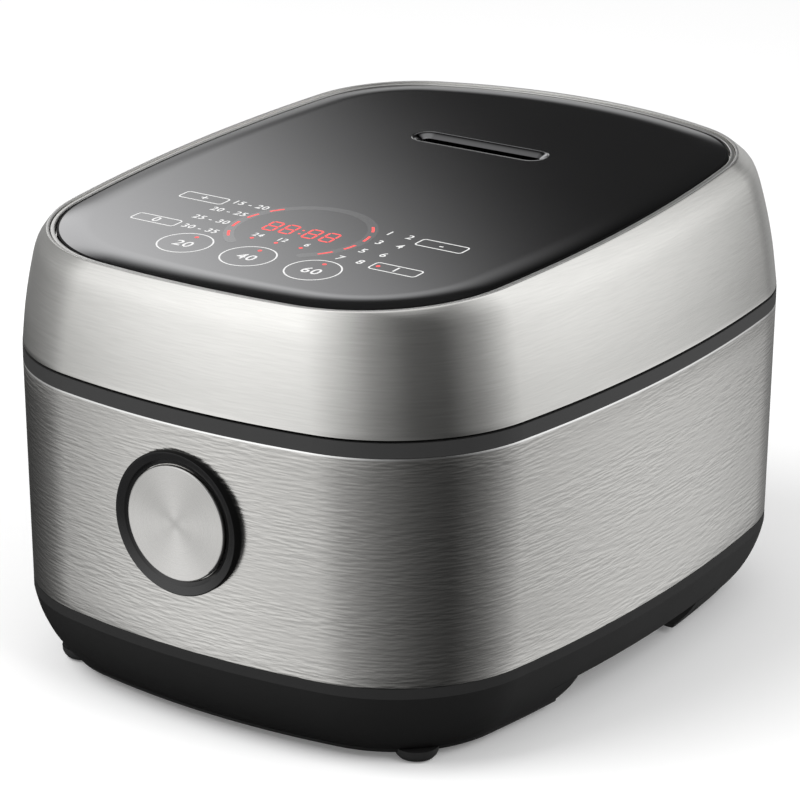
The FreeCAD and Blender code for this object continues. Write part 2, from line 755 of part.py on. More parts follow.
# Latch lever on its pin: the button pushes its foot in and its nose swings out over the lid's catch
nose_under_z = band_z - 2.4
nose_top_z = band_z + 0.4
lever = Piece("latch_lever")
lever_side = lever.sketch("YZ_Plane")
draw_polygon(lever_side, [
    (lever_front_y, d.button_z - 6), (d.latch_y + 1.5, d.button_z - 6), (d.latch_y + 1.5, nose_under_z),
    (d.latch_y + 3.6, nose_under_z), (d.latch_y + 3.6, nose_under_z + 1), (d.latch_y + 1.5, nose_top_z),
    (lever_front_y, nose_top_z)
])
lever.pad(lever_side, 16, symmetric=True)
lever_hub = lever.sketch("YZ_Plane")
draw_circle(lever_hub, d.latch_y, d.latch_z, 5)
lever.pad(lever_hub, 2 * cheek_in - 0.8, symmetric=True)
lever_bore = lever.sketch("YZ_Plane")
draw_circle(lever_bore, d.latch_y, d.latch_z, d.latch_pin_radius + 0.05)
lever.pocket(lever_bore, 2 * cheek_in, symmetric=True)
latch_pin = rod("latch_pin", (-cheek_out, d.latch_y, d.latch_z), d.latch_pin_radius, 2 * cheek_out, X_AXIS)
keep(lever, latch_pin)

# Hinge: a barrel on the collar's deck, its pin and lifting spring
barrel_half = d.hinge_barrel_width / 2
barrel_gap = 13
bracket = Piece("hinge_bracket")
bracket.slab(deck_z, deck_z + 3, polygons=[
    rectangle(-barrel_half, d.hinge_y - 20, barrel_half, d.hinge_y - 0.5)
])
for side in (-1, 1):
    start = barrel_gap if side > 0 else -barrel_half
    web = bracket.sketch("YZ_Plane", start)
    draw_polygon(web, rectangle(d.hinge_y - 8, deck_z, d.hinge_y - 0.5, d.hinge_z))
    bracket.pad(web, barrel_half - barrel_gap)
    barrel = bracket.sketch("YZ_Plane", start)
    draw_circle(barrel, d.hinge_y, d.hinge_z, d.hinge_barrel_radius)
    bracket.pad(barrel, barrel_half - barrel_gap)
barrel_bore = bracket.sketch("YZ_Plane")
draw_circle(barrel_bore, d.hinge_y, d.hinge_z, d.hinge_pin_radius)
bracket.pocket(barrel_bore, d.hinge_barrel_width + 2, symmetric=True)
ear_start = barrel_half + 0.5
ear_end = ear_start + d.hinge_ear_width
hinge_pin = rod("hinge_pin", (-ear_end, d.hinge_y, d.hinge_z), d.hinge_pin_radius, 2 * ear_end, X_AXIS)
hinge_spring = spring(
    "hinge_spring", X_AXIS, (-barrel_gap, d.hinge_y, d.hinge_z), 5, 0.8, 2 * barrel_gap, 9
)
keep(bracket, hinge_pin, hinge_spring)

# Lid shell: a band that leans in to the sloping opening, with a ledge for the panel and screw posts
LID_CURVE = ((0, 0), (0.33, 0.16), (0.66, 0.41), (0.88, 0.66), (1, 1))


def lid_surface(name, inset):
    sections = []
    for climb, lean in LID_CURVE:
        plan = between(body_plan, rim_plan, lean)
        sections.append((plan, inset, seam_z + d.lid_rise * climb, d.lid_forward * lean, d.lid_tilt * climb))
    return lofted(name, sections)


ledge = Piece("panel_ledge")
ledge.slab(-d.ledge_depth - 2.5, -d.ledge_depth, rim_plan, [size(0.6), d.ledge_width])
lay_on_rim(ledge.body)
lid_hollow = cut("lid_hollow", lid_surface("lid_inside", d.lid_wall), [ledge.body])
notch_half = ear_end + 4
hinge_notch = box(
    "hinge_notch", (-notch_half, d.hinge_y - 16, seam_z - 1), (notch_half, beyond_y, d.hinge_z + 13)
)
lid_band = cut("lid_band", lid_surface("lid_outside", size(0)), [lid_hollow, hinge_notch])
frame_top_z = seam_z + 3.5
lid_slope = Size(math.tan(math.radians(DRIVING["lid_tilt"])), "tan(dim.lid_tilt)")
post_spots = [(-115.5, 0), (115.5, 0), (-50, -157), (50, -157)]
post_radius = 3.4
posts = []
for number, (x, y) in enumerate(post_spots):
    ledge_z = rim_z - d.ledge_depth - 1 + (y + d.lid_forward) * lid_slope
    posts.append(rod(f"lid_post_{number}", (x, y, frame_top_z), post_radius, ledge_z - frame_top_z))
keep(joined("lid_shell", [lid_band] + posts))

# Glossy panel in its trim ring, with posts below for the control board
panel_inset = d.lid_wall + d.trim_width + 2 * d.fit_gap
board_local_z = -d.ledge_depth - 5


def stadium(length, width, centre_y):
    """A slot outline with round ends, along X."""
    half, end = size(length) / 2, size(width) / 2
    low, high = centre_y - end, centre_y + end
    tight = end - 0.01
    return [(-half, low, tight), (half, low, tight), (half, high, tight), (-half, high, tight)]


panel = Piece("top_panel")
panel_edge_z = d.panel_proud - d.panel_drop
panel.slab(-d.ledge_depth, panel_edge_z, rim_plan, [panel_inset])
panel.crown(rim_plan, [
    (panel_inset + d.panel_roll * share, panel_edge_z + d.panel_drop * (1 - (1 - share) ** 2))
    for share in (0, 0.25, 0.6, 1)
])
panel.bore(-d.ledge_depth, d.panel_proud, polygons=[stadium(d.vent_length, d.vent_width, d.vent_back)])
panel.slab(board_local_z, -d.ledge_depth, circles=[(x, y, 3) for x in (-66, 66) for y in (-126, -44)])
lay_on_rim(panel.body)
trim = Piece("panel_trim")
trim.slab(-d.ledge_depth, 0, rim_plan, [d.lid_wall + d.fit_gap, d.lid_wall + d.fit_gap + d.trim_width])
lay_on_rim(trim.body)
keep(panel, trim)

# Steam outlet: a slotted insert in the panel over a chamber that leads down to the inner lid
vent = Piece("vent_insert")
vent.slab(-d.vent_depth, d.panel_proud - 0.2, polygons=[stadium(d.vent_length - 0.3, d.vent_width - 0.3, d.vent_back)])
vent.slab(-d.ledge_depth - 1.5, -d.ledge_depth, polygons=[stadium(d.vent_length + 5, d.vent_width + 5, d.vent_back)])
vent.bore(d.panel_proud - d.vent_recess, d.panel_proud, polygons=[
    stadium(d.vent_length - 3, d.vent_width - 3, d.vent_back)
])
vent.bore(-d.vent_depth - 1, 0, polygons=[stadium(d.vent_slot_length, d.vent_slot_width, d.vent_back)])
lay_on_rim(vent.body)
keep(vent)

dome_top_z = seam_z + 14.7
dome_under_z = dome_top_z - 2.2
inner_lid_z = seam_z + 4.5
steam_y = d.vent_back - d.lid_forward
chamber_z = rim_z - 16
steam_tube = rod("steam_tube", (0, steam_y, dome_top_z), 12, chamber_z + 2 - dome_top_z)
steam_foot = rod("steam_foot", (0, steam_y, dome_top_z), 19, 2)
chamber = box("steam_chamber", (-32, steam_y - 12, chamber_z), (32, steam_y + 12, chamber_z + 10))
chamber_room = box("steam_room", (-30, steam_y - 10, chamber_z + 2), (30, steam_y + 10, chamber_z + 11))
steam_bore = rod("steam_bore", (0, steam_y, dome_top_z - 1), 9, chamber_z + 4 - dome_top_z)
keep(cut("steam_box", joined("steam_body", [steam_tube, steam_foot, chamber]), [chamber_room, steam_bore]))
steam_seal = Piece("steam_seal").place(0, steam_y, 0)
steam_seal.turn([(8.5, inner_lid_z), (13, inner_lid_z), (13, dome_under_z), (8.5, dome_under_z)])
keep(steam_seal)

# Control board under the panel, its display and the touch contacts
control = Piece("control_board")
control.slab(board_local_z - 1.6, board_local_z, polygons=[rectangle(-74, -132, 74, -38)])
lay_on_rim(control.body)
display = Piece("display_module")
display.slab(board_local_z, -d.ledge_depth, polygons=[rectangle(-24, -84, 24, -66)])
lay_on_rim(display.body)
keep(control, display)
touch_spots = [(-52, -100), (-52, -76), (-52, -52), (52, -100), (52, -76), (52, -52), (0, -110)]
contacts = []
for number, (x, y) in enumerate(touch_spots):
    contact = Piece(f"touch_contact_{number}")
    contact.slab(board_local_z, -d.ledge_depth, circles=[(x, y, 3.5)])
    lay_on_rim(contact.body)
    contacts.append(contact.body)
keep(group("touch_contacts", contacts))

# Lid frame: the moulding that closes the lid below, with a dome over the inner lid and the hinge ears
dome_radius = 103.4
frame_z = seam_z + 0.5
catch_front, catch_back = d.latch_y + 6.5, d.latch_y + 9.5
frame = Piece("lid_frame")
frame.slab(frame_z, frame_top_z, body_plan, [size(3)], circles=[(0, 0, dome_radius + 1)])
frame.turn([
    (dome_radius, frame_z), (dome_radius + 2.6, frame_z), (dome_radius + 2.6, dome_top_z - 6),
    (92, dome_top_z), (0, dome_top_z), (0, dome_under_z), (91, dome_under_z), (dome_radius, dome_under_z - 5)
])
frame.slab(inner_lid_z, dome_under_z, circles=[(0, 0, 8)])
frame.bore(frame_z, frame_top_z, polygons=[
    rectangle(-ear_start, d.hinge_y - 9.5, ear_start, beyond_y),
    rectangle(-9.1, catch_front - 0.1, 9.1, catch_back + 0.1)
])
for side in (-1, 1):
    start = ear_start if side > 0 else -ear_end
    arm = frame.sketch("YZ_Plane", start)
    draw_polygon(arm, rectangle(d.hinge_y - 18, frame_z, d.hinge_y, d.hinge_z))
    frame.pad(arm, d.hinge_ear_width)
    eye = frame.sketch("YZ_Plane", start)
    draw_circle(eye, d.hinge_y, d.hinge_z, 7)
    frame.pad(eye, d.hinge_ear_width)
ear_bore = frame.sketch("YZ_Plane")
draw_circle(ear_bore, d.hinge_y, d.hinge_z, d.hinge_pin_radius + 0.05)
frame.pocket(ear_bore, 2 * ear_end + 2, symmetric=True)
frame.bore(dome_under_z - 1, dome_top_z + 1, circles=[(0, steam_y, 9), (40, 0, 5)])
keep(frame)

# Detachable inner lid with its seal, the lid's sensor and the catch
inner_lid = Piece("inner_lid")
inner_lid.turn([
    (0, inner_lid_z), (72, inner_lid_z), (98, inner_lid_z - 2.2), (101.5, inner_lid_z - 2.2, 1.5),
    (101.5, inner_lid_z - 5.4), (100.3, inner_lid_z - 5.4), (100.3, inner_lid_z - 3.4), (97.8, inner_lid_z - 3.4),
    (72, inner_lid_z - 1.2), (0, inner_lid_z - 1.2)
])
inner_lid.bore(inner_lid_z - 3, inner_lid_z + 1, circles=[(0, steam_y, 8)])
seal_under_z = pot_top_z + 0.4
seal = Piece("seal_ring")
seal.turn([
    (101.5, inner_lid_z - 5.4), (101.5, inner_lid_z - 2.4), (103.1, inner_lid_z - 2.4), (103.1, seal_under_z + 1.8),
    (111, seal_under_z + 1.2), (111.6, seal_under_z, 0.4), (103, seal_under_z)
])
lid_sensor = rod("lid_sensor", (40, 0, inner_lid_z), 5, 18)
catch = Piece("lid_catch")
catch_side = catch.sketch("YZ_Plane")
draw_polygon(catch_side, [
    (catch_front, nose_under_z - 3.6), (catch_back, nose_under_z - 3.6), (catch_back, frame_top_z),
    (catch_back + 4.5, frame_top_z), (catch_back + 4.5, frame_top_z + 2), (catch_front - 4.5, frame_top_z + 2),
    (catch_front - 4.5, frame_top_z), (catch_front, frame_top_z), (catch_front, nose_under_z - 0.6),
    (catch_front - 1.9, nose_under_z - 0.6), (catch_front - 1.9, nose_under_z - 1.6)
])
catch.pad(catch_side, 18, symmetric=True)
keep(inner_lid, seal, lid_sensor, catch)

# Build, test every object, and write one file for each piece
doc.recompute()
faults = [item.Label for item in doc.Objects if {"Invalid", "Error"} & set(item.State)]
faults += [item.Label for item in nodes if item.Shape.isNull() or not item.Shape.isValid()]
if faults:
    raise RuntimeError(f"failed pieces: {sorted(set(faults))}")
os.makedirs("parts", exist_ok=True)
for item in nodes:
    item.Shape.exportStep(f"parts/{item.Label}.step")
print(f"{len(nodes)} pieces written")
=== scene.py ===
import json
import bmesh
import bpy
from math import atan2, cos, hypot, pi, radians, sin, sqrt
from mathutils import Matrix, Vector


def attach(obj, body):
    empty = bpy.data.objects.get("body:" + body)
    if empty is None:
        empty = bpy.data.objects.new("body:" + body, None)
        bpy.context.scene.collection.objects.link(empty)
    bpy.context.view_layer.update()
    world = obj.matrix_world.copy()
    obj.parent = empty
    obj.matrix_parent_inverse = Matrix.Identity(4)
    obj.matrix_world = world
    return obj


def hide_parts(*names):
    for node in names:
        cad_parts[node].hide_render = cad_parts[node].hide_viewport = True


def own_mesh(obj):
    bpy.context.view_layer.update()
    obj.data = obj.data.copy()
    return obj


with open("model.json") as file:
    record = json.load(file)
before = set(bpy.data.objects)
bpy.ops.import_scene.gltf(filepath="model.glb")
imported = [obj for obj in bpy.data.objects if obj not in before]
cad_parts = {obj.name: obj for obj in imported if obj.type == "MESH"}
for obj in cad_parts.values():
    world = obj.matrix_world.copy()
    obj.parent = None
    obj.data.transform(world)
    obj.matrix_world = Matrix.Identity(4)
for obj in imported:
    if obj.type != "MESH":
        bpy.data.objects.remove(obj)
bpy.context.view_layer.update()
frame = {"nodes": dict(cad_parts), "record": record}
nodes = frame["nodes"]
scene = bpy.context.scene
scene.view_settings.view_transform = "Standard"
mm = 0.001  # metres in a millimetre
slotOf = {row["node"]: row["material_slot"] for row in frame["record"]["subparts"]}
print("frame loaded:", len(nodes), "nodes")


# camera at the photograph's viewing angle
view = {
    "place": (0.83707, -1.20913, 0.62072),
    "azimuth": 34.861,  # degrees from the front towards the right
    "elevation": 19.284,
    "roll": 0.269,
    "lens": 152.66,
    "sensor": 36.0,
}


def setCamera():
    turn, lift, roll = radians(view["azimuth"]), radians(view["elevation"]), radians(view["roll"])
    facing = Matrix.Rotation(turn, 4, "Z") @ Matrix.Rotation(pi / 2 - lift, 4, "X")
    data = bpy.data.cameras.new("camera")
    data.lens = view["lens"]
    data.sensor_width = view["sensor"]
    camera = bpy.data.objects.new("camera", data)
    camera.matrix_world = Matrix.Translation(view["place"]) @ facing @ Matrix.Rotation(roll, 4, "Z")
    scene.collection.objects.link(camera)
    scene.camera = camera


setCamera()


class Sock:
    # a shader socket that takes part in Python sums
    def __init__(self, tree, link=None):
        self.tree = tree
        self.link = link

    def node(self, kind, settings=None, values=None, out=0):
        made = self.tree.nodes.new(kind)
        for key, value in (settings or {}).items():
            if key == "stops":
                spots = made.color_ramp.elements
                spots[1].position = value[-1][0]
                for place, tone in value[1:-1]:
                    spots.new(place)
                for spot, (place, tone) in zip(spots, value):
                    spot.position = place
                    spot.color = grey(tone)
            else:
                setattr(made, key, value)
        for key, value in (values or {}).items():
            if isinstance(value, Sock):
                self.tree.links.new(value.link, made.inputs[key])
            else:
                made.inputs[key].default_value = value
        return Sock(self.tree, made.outputs[out])

    def maths(self, operation, *others, clamp=False):
        return self.node(
            "ShaderNodeMath", {"operation": operation, "use_clamp": clamp}, dict(enumerate((self, *others)))
        )

    def flipped(self, operation, other):
        return self.node("ShaderNodeMath", {"operation": operation}, {0: other, 1: self})

    def __add__(self, other):
        return self.maths("ADD", other)

    def __radd__(self, other):
        return self.flipped("ADD", other)

    def __sub__(self, other):
        return self.maths("SUBTRACT", other)

    def __rsub__(self, other):
        return self.flipped("SUBTRACT", other)

    def __mul__(self, other):
        return self.maths("MULTIPLY", other)

    def __rmul__(self, other):
        return self.flipped("MULTIPLY", other)

    def __truediv__(self, other):
        return self.maths("DIVIDE", other)

    def __rtruediv__(self, other):
        return self.flipped("DIVIDE", other)

    def smooth(self, low, high, start=0.0, end=1.0):
        return self.node(
            "ShaderNodeMapRange", {"interpolation_type": "SMOOTHSTEP"},
            {0: self, 1: low, 2: high, 3: start, 4: end},
        )

    def blend(self, *tones):
        first, second = [tone if isinstance(tone, Sock) else (*tone[:3], 1.0) for tone in tones]
        return self.node("ShaderNodeMix", {"data_type": "RGBA"}, {0: self, 6: first, 7: second}, out=2)

    def ramp(self, stops):
        return self.node("ShaderNodeValToRGB", {"stops": stops}, {0: self})

    def bump(self, strength, distance):
        return self.node("ShaderNodeBump", None, {"Strength": strength, "Distance": distance, "Height": self})


class Finish:
    # one node material: a shader, its place on the piece and its plain sockets
    def __init__(self, name, **plain):
        self.material = bpy.data.materials.new(name)
        self.material.use_nodes = True
        tree = self.material.node_tree
        self.shader = tree.nodes["Principled BSDF"]
        self.start = Sock(tree)
        self.place = self.start.node("ShaderNodeTexCoord", out=3)
        for key, value in plain.items():
            self.shader.inputs[key.replace("_", " ")].default_value = value

    def feed(self, **links):
        for key, value in links.items():
            self.material.node_tree.links.new(value.link, self.shader.inputs[key.replace("_", " ")])
        return self.material

    def spread(self, scale, shift=(0, 0, 0)):
        return self.start.node("ShaderNodeMapping", None, {0: self.place, 1: shift, 3: scale})

    def noise(self, scale, detail=2.0, rough=0.5, shift=(0, 0, 0)):
        size = scale if isinstance(scale, tuple) else (scale, scale, scale)
        return self.start.node(
            "ShaderNodeTexNoise", None,
            {"Vector": self.spread(size, shift), "Scale": 1.0, "Detail": detail, "Roughness": rough},
        )

    def axis(self, name):
        return self.start.node("ShaderNodeSeparateXYZ", None, {0: self.place}, out="XYZ".index(name))


def grey(tone):
    return (tone, tone, tone, 1.0)


def shaded(tone, share):
    return [c * share for c in tone]


def mouldedPlastic(name, tone, rough, grain=1800.0, depth=0.00003, specular=0.4):
    made = Finish(name, Specular_IOR_Level=specular)
    cloud = made.noise(24.0, 3.0)
    fine = made.noise(grain)
    return made.feed(
        Base_Color=cloud.blend(shaded(tone, 0.88), shaded(tone, 1.15)),
        Roughness=cloud * 0.1 + fine * 0.06 + (rough - 0.08),
        Normal=fine.bump(0.35, depth),
    )


def baseMouldingPaintedShade():
    # painted shade: below the crease, the tucked wall that faces the floor takes a darker colour than the
    # upright band above it
    look = {"tone": 0.0105, "bandTone": 0.019, "band": (0.0361, 0.0365), "rough": 0.46}  # heights in metres
    made = Finish("baseMouldingPaintedShade", Specular_IOR_Level=0.14)
    fine = made.noise(1800.0)
    cloud = made.noise(20.0)
    band = made.axis("Z").smooth(*look["band"])
    return made.feed(
        Base_Color=band.blend(grey(look["tone"]), grey(look["bandTone"])),
        Roughness=cloud * 0.08 + fine * 0.05 + look["rough"],
        Normal=fine.bump(0.35, 0.00003),
    )


def brushedSteel():
    look = {
        "tone": (0.665, 0.657, 0.635),
        "rough": 0.17,
        "streak": (95.0, 95.0, 860.0),  # short level streaks, 3 to 9 mm long
        "hair": (34.0, 34.0, 5200.0),
    }
    made = Finish("brushedSteel", Metallic=1.0, Anisotropic=0.4)
    streak = made.noise(look["streak"], 2.0, 0.55)
    shifted = made.noise(look["streak"], 2.0, 0.55, (0.0, 0.0, 0.45))
    wave = made.noise((14.0, 14.0, 60.0), 1.0)
    hair = made.noise(look["hair"], 3.0, 0.6)
    # painted light and shade: the difference of two offset copies of the streak noise lightens one side of each
    # streak and darkens the other in the base colour; the hair noise added to it is the steel's real grain
    paintedStreakShading = (streak - shifted) * wave.smooth(0.3, 0.65, 0.55, 1.15)
    tone = look["tone"]
    return made.feed(
        Base_Color=(paintedStreakShading * 3.2 + hair * 0.35).maths("ADD", 0.32, clamp=True).blend(
            shaded(tone, 0.76), shaded(tone, 1.22)
        ),
        Roughness=hair * 0.1 + look["rough"],
        Normal=(streak + hair * 0.05).bump(0.5, 0.00028),
    )


def lidSilver():
    made = Finish("lidSilver", Metallic=1.0, Anisotropic=0.35)
    hair = made.noise((48.0, 48.0, 2600.0), 3.0, 0.65)
    brush = made.noise((70.0, 70.0, 1300.0), 2.0, 0.6)
    cloud = made.noise(9.0)
    return made.feed(
        Base_Color=(hair * 0.6 + brush * 0.4).smooth(0.2, 0.8).blend(
            (0.84, 0.834, 0.806), (0.95, 0.944, 0.915)
        ),
        Roughness=hair * 0.1 + cloud * 0.03 + 0.15,
        Normal=(hair * 0.5 + brush).bump(0.12, 0.00005),
    )


def spunSilver():
    look = {
        "height": 0.1,  # of the disc's middle, in metres
        "reach": 0.024,
        "hub": 0.004,
        "rings": 5200.0,
        "dark": (0.52, 0.515, 0.50),
        "pale": (0.86, 0.85, 0.83),
    }
    made = Finish("spunSilver", Metallic=1.0, Anisotropic=0.6)
    x = made.axis("X")
    z = made.axis("Z") - look["height"]
    radius = (x * x + z * z).maths("SQRT")
    ring = made.start.node(
        "ShaderNodeTexNoise", {"noise_dimensions": "1D"}, {"W": radius, "Scale": look["rings"], "Detail": 3.0}
    )
    fan = x.maths("ARCTAN2", z)
    # painted reflection: light and dark fans by angle round the middle stand in for the spun highlights, faded
    # out at the hub
    paintedFanGlints = (fan * 4.0 + 0.5).maths("COSINE") * 0.3 + (fan * 2.0 - 0.4).maths("COSINE") * 0.2 + 0.5
    rest = radius.smooth(0.0, look["hub"])
    # painted light: the lower part of the disc is lighter
    low = z.smooth(look["reach"], -look["reach"], -0.1, 0.3)
    return made.feed(
        Base_Color=(ring * 0.4 + (paintedFanGlints * 0.5 + low) * rest).blend(look["dark"], look["pale"]),
        Roughness=ring * 0.12 + 0.22,
        Normal=ring.bump(0.35, 0.00008),
    )


def darkPanel():
    made = Finish("darkPanel", Metallic=1.0)
    fine = made.noise(2600.0)
    cloud = made.noise(14.0)
    return made.feed(
        Base_Color=cloud.blend((0.23, 0.23, 0.235), (0.245, 0.245, 0.25)),
        Roughness=fine * 0.03 + cloud * 0.02 + 0.06,
        Normal=fine.bump(0.04, 0.00002),
    )


def plainMetal(name, tone, rough, hairScale, depth=0.00003):
    made = Finish(name, Metallic=1.0)
    hair = made.noise(hairScale, 3.0, 0.6)
    cloud = made.noise(20.0)
    return made.feed(
        Base_Color=(hair * 0.6 + cloud * 0.4).blend(shaded(tone, 0.86), shaded(tone, 1.08)),
        Roughness=hair * 0.12 + cloud * 0.06 + (rough - 0.08),
        Normal=hair.bump(0.12, depth),
    )


def potCoating():
    made = Finish("potCoating", Specular_IOR_Level=0.45)
    fleck = made.noise(1500.0, 1.0)
    cloud = made.noise(30.0, 3.0)
    speck = fleck.smooth(0.66, 0.72)
    dark = cloud.blend((0.040, 0.040, 0.043), (0.062, 0.062, 0.065))
    return made.feed(
        Base_Color=speck.blend(dark, (0.30, 0.29, 0.27)),
        Roughness=cloud * 0.1 + speck * 0.1 + 0.3,
        Normal=fleck.bump(0.12, 0.00003),
    )


def copperCoil():
    made = Finish("copperCoil", Metallic=1.0)
    x = made.axis("X")
    y = made.axis("Y")
    radius = (x * x + y * y).maths("SQRT")
    strand = (radius * 2600.0).maths("SINE") * 0.5 + 0.5
    twist = made.noise(900.0)
    return made.feed(
        Base_Color=(strand * 0.7 + twist * 0.3).blend((0.36, 0.14, 0.06), (0.80, 0.38, 0.18)),
        Roughness=twist * 0.2 + 0.22,
        Normal=(strand + twist * 0.3).bump(0.6, 0.0008),
    )


def circuitBoard():
    made = Finish("circuitBoard", Coat_Weight=0.3)
    cell = made.start.node(
        "ShaderNodeTexVoronoi", {"feature": "F1", "distance": "MANHATTAN"},
        {"Vector": made.spread((260.0, 260.0, 260.0)), "Scale": 1.0},
    )
    track = cell.smooth(0.28, 0.34)
    cloud = made.noise(40.0)
    green = cloud.blend((0.010, 0.075, 0.032), (0.016, 0.105, 0.045))
    return made.feed(
        Base_Color=track.blend((0.03, 0.17, 0.07), green),
        Roughness=cloud * 0.1 + track * 0.1 + 0.32,
        Normal=track.bump(0.2, 0.00005),
    )


def softSilicone():
    made = Finish("softSilicone", Subsurface_Weight=0.15, Subsurface_Scale=0.002)
    fine = made.noise(700.0)
    cloud = made.noise(20.0)
    return made.feed(
        Base_Color=cloud.blend((0.50, 0.50, 0.49), (0.60, 0.60, 0.585)),
        Roughness=cloud * 0.1 + fine * 0.06 + 0.42,
        Normal=fine.bump(0.15, 0.00004),
    )


# finishes of two tones over one noise, without relief: its scale, the tones, how much the roughness varies and
# where it starts, plain sockets, and for one a coat between two heights in metres, with its weights there; that
# coat is a painted sheen, glossier on the lower part of the button ring
toned = {
    # the rolled top edge of the wrap: a near-white copy of the steel, a painted highlight line
    "foldedEdgePaintedHighlight": ((40.0, 40.0, 900.0), (0.93, 0.93, 0.92), (0.98, 0.98, 0.97), 0.08, 0.14, {"Metallic": 1.0}),
    "lidLip": ((60.0, 60.0, 900.0), (0.86, 0.855, 0.84), (0.94, 0.935, 0.92), 0.1, 0.42, {"Metallic": 1.0}),
    "polishedTrim": ((60.0, 60.0, 2400.0), (0.74, 0.735, 0.72), (0.82, 0.815, 0.80), 0.08, 0.3,
                     {"Metallic": 1.0}),
    "glossBlackPaintedSheen": (60.0, (0.004, 0.004, 0.0042), (0.007, 0.007, 0.0073), 0.08, 0.2,
                   {"Specular_IOR_Level": 0.22, "Coat_Roughness": 0.1}, (0.068, 0.118, 1.0, 0.05)),
    "darkDisplay": (120.0, (0.012, 0.010, 0.011), (0.022, 0.016, 0.017), 0.1, 0.3, {"Coat_Weight": 0.5}),
    "haloPrint": (3200.0, (0.30, 0.30, 0.305), (0.36, 0.36, 0.365), 0.06, 0.12, {"Metallic": 1.0}),
    "printWhite": (5200.0, (0.792, 0.792, 0.7876), (0.90, 0.90, 0.895), 0.1, 0.42, {"Specular_IOR_Level": 0.3}),
    "printPale": (5200.0, (0.6336, 0.6336, 0.616), (0.72, 0.72, 0.70), 0.1, 0.42, {"Specular_IOR_Level": 0.3}),
}


def tonedFinish(name):
    scale, dark, pale, vary, rough, plain, *coat = toned[name]
    made = Finish(name, **plain)
    grain = made.noise(scale)
    # painted sheen: the coat weight changes with height, so the lower part shines more
    for heights in coat:
        made.feed(Coat_Weight=made.axis("Z").smooth(*heights))
    return made.feed(Base_Color=grain.blend(dark, pale), Roughness=grain * vary + rough)


def redLight():
    made = Finish("redLight", Emission_Strength=0.9, Roughness=0.35)
    glow = made.noise(420.0, 1.0)
    tone = glow.blend((0.86, 0.075, 0.07), (1.0, 0.13, 0.12))
    return made.feed(Base_Color=glow.blend((0.45, 0.03, 0.03), (0.55, 0.05, 0.05)), Emission_Color=tone)


finishes = {
    "black_plastic": mouldedPlastic("blackPlastic", (0.0065, 0.0065, 0.0068), 0.42, specular=0.22),
    "rubber": mouldedPlastic("footRubber", (0.016, 0.016, 0.016), 0.7, 900.0, 0.00006, 0.3),
    "brushed_steel": brushedSteel(),
    "inner_metal": plainMetal("satinAluminium", (0.70, 0.70, 0.70), 0.34, 700.0),
    "heat_plastic": mouldedPlastic("heatPlastic", (0.085, 0.085, 0.088), 0.55, 1200.0, 0.00005),
    "pot_coating": potCoating(),
    "copper": copperCoil(),
    "ferrite": mouldedPlastic("ferriteBar", (0.045, 0.043, 0.042), 0.62, 1500.0, 0.00008),
    "spring_steel": plainMetal("springSteel", (0.58, 0.58, 0.59), 0.28, 900.0),
    "circuit_board": circuitBoard(),
    "heat_sink": plainMetal("finnedAluminium", (0.62, 0.62, 0.63), 0.4, (80.0, 80.0, 1600.0)),
    "capacitor": mouldedPlastic("capacitorCase", (0.30, 0.035, 0.03), 0.4, 900.0),
    "contact_brass": plainMetal("contactBrass", (0.72, 0.56, 0.28), 0.3, 900.0),
    "gloss_black": tonedFinish("glossBlackPaintedSheen"),
    "lid_silver": lidSilver(),
    "dark_panel": darkPanel(),
    "trim_chrome": tonedFinish("polishedTrim"),
    "silicone": softSilicone(),
    "display": tonedFinish("darkDisplay"),
    "spun_silver": spunSilver(),
    "fan_plastic": mouldedPlastic("fanPlastic", (0.022, 0.022, 0.023), 0.5),
}
special = {
    "upper_collar": mouldedPlastic("collarSatin", (0.030, 0.030, 0.030), 0.46, 1500.0, 0.00005, 0.35),
    "base_housing": baseMouldingPaintedShade(),
}
for name, thing in nodes.items():
    thing.data.materials.clear()
    thing.data.materials.append(special.get(name, finishes[slotOf[name]]))
print("finishes made:", len(finishes))


# level plans of the cooker, in millimetres: bowed rectangles of eight arcs that run smoothly into each other;
# half width and depth, then the radii of side, front, back, front corner and back corner
plans = {
    "body": (135.0, 171.0, 714.0, 385.0, 385.0, 75.0, 75.0),
    "base": (134.1, 168.2, 714.0, 385.0, 385.0, 72.2, 72.2),
    "rim": (121.0, 155.1, 714.0, 520.0, 227.0, 71.0, 58.5),
}
arcSteps = (9, 24, 28, 24, 9)  # on half the front, a front corner, a side, a back corner and half the back


def between(first, last, share):
    return [a + (b - a) * share for a, b in zip(first, last)]


def cornerArc(width, depth, side, end, corner):
    sideX = width - side
    endY = depth - end
    nearSide = side - corner
    nearEnd = end - corner
    apart = hypot(sideX, endY)
    along = (nearSide ** 2 - nearEnd ** 2 + apart ** 2) / (2 * apart)
    across = sqrt(nearSide ** 2 - along ** 2)
    ux, uy = -sideX / apart, endY / apart
    x, y = sideX + ux * along - uy * across, uy * along + ux * across
    if x < 0 or y < 0:
        x, y = sideX + ux * along + uy * across, uy * along - ux * across
    return x, y, atan2(y, x - sideX), atan2(y - endY, x)


def planLoop(plan, inset):
    width, depth, side, front, back, frontCorner, backCorner = [size - inset for size in plan]
    fx, fy, f0, f1 = cornerArc(width, depth, side, front, frontCorner)
    bx, by, b0, b1 = cornerArc(width, depth, side, back, backCorner)
    half = pi / 2
    arcs = [
        (0, front - depth, front, -half, -f1),
        (fx, -fy, frontCorner, -f1, -f0),
        (width - side, 0, side, -f0, b0),
        (bx, by, backCorner, b0, b1),
        (0, depth - back, back, b1, half),
    ]
    right = []
    for (x, y, radius, start, end), steps in zip(arcs, arcSteps):
        for i in range(steps):
            angle = start + (end - start) * i / steps
            right.append((x + radius * cos(angle), y + radius * sin(angle)))
    right.append((0.0, depth))
    return right + [(-x, y) for x, y in reversed(right[1:-1])]


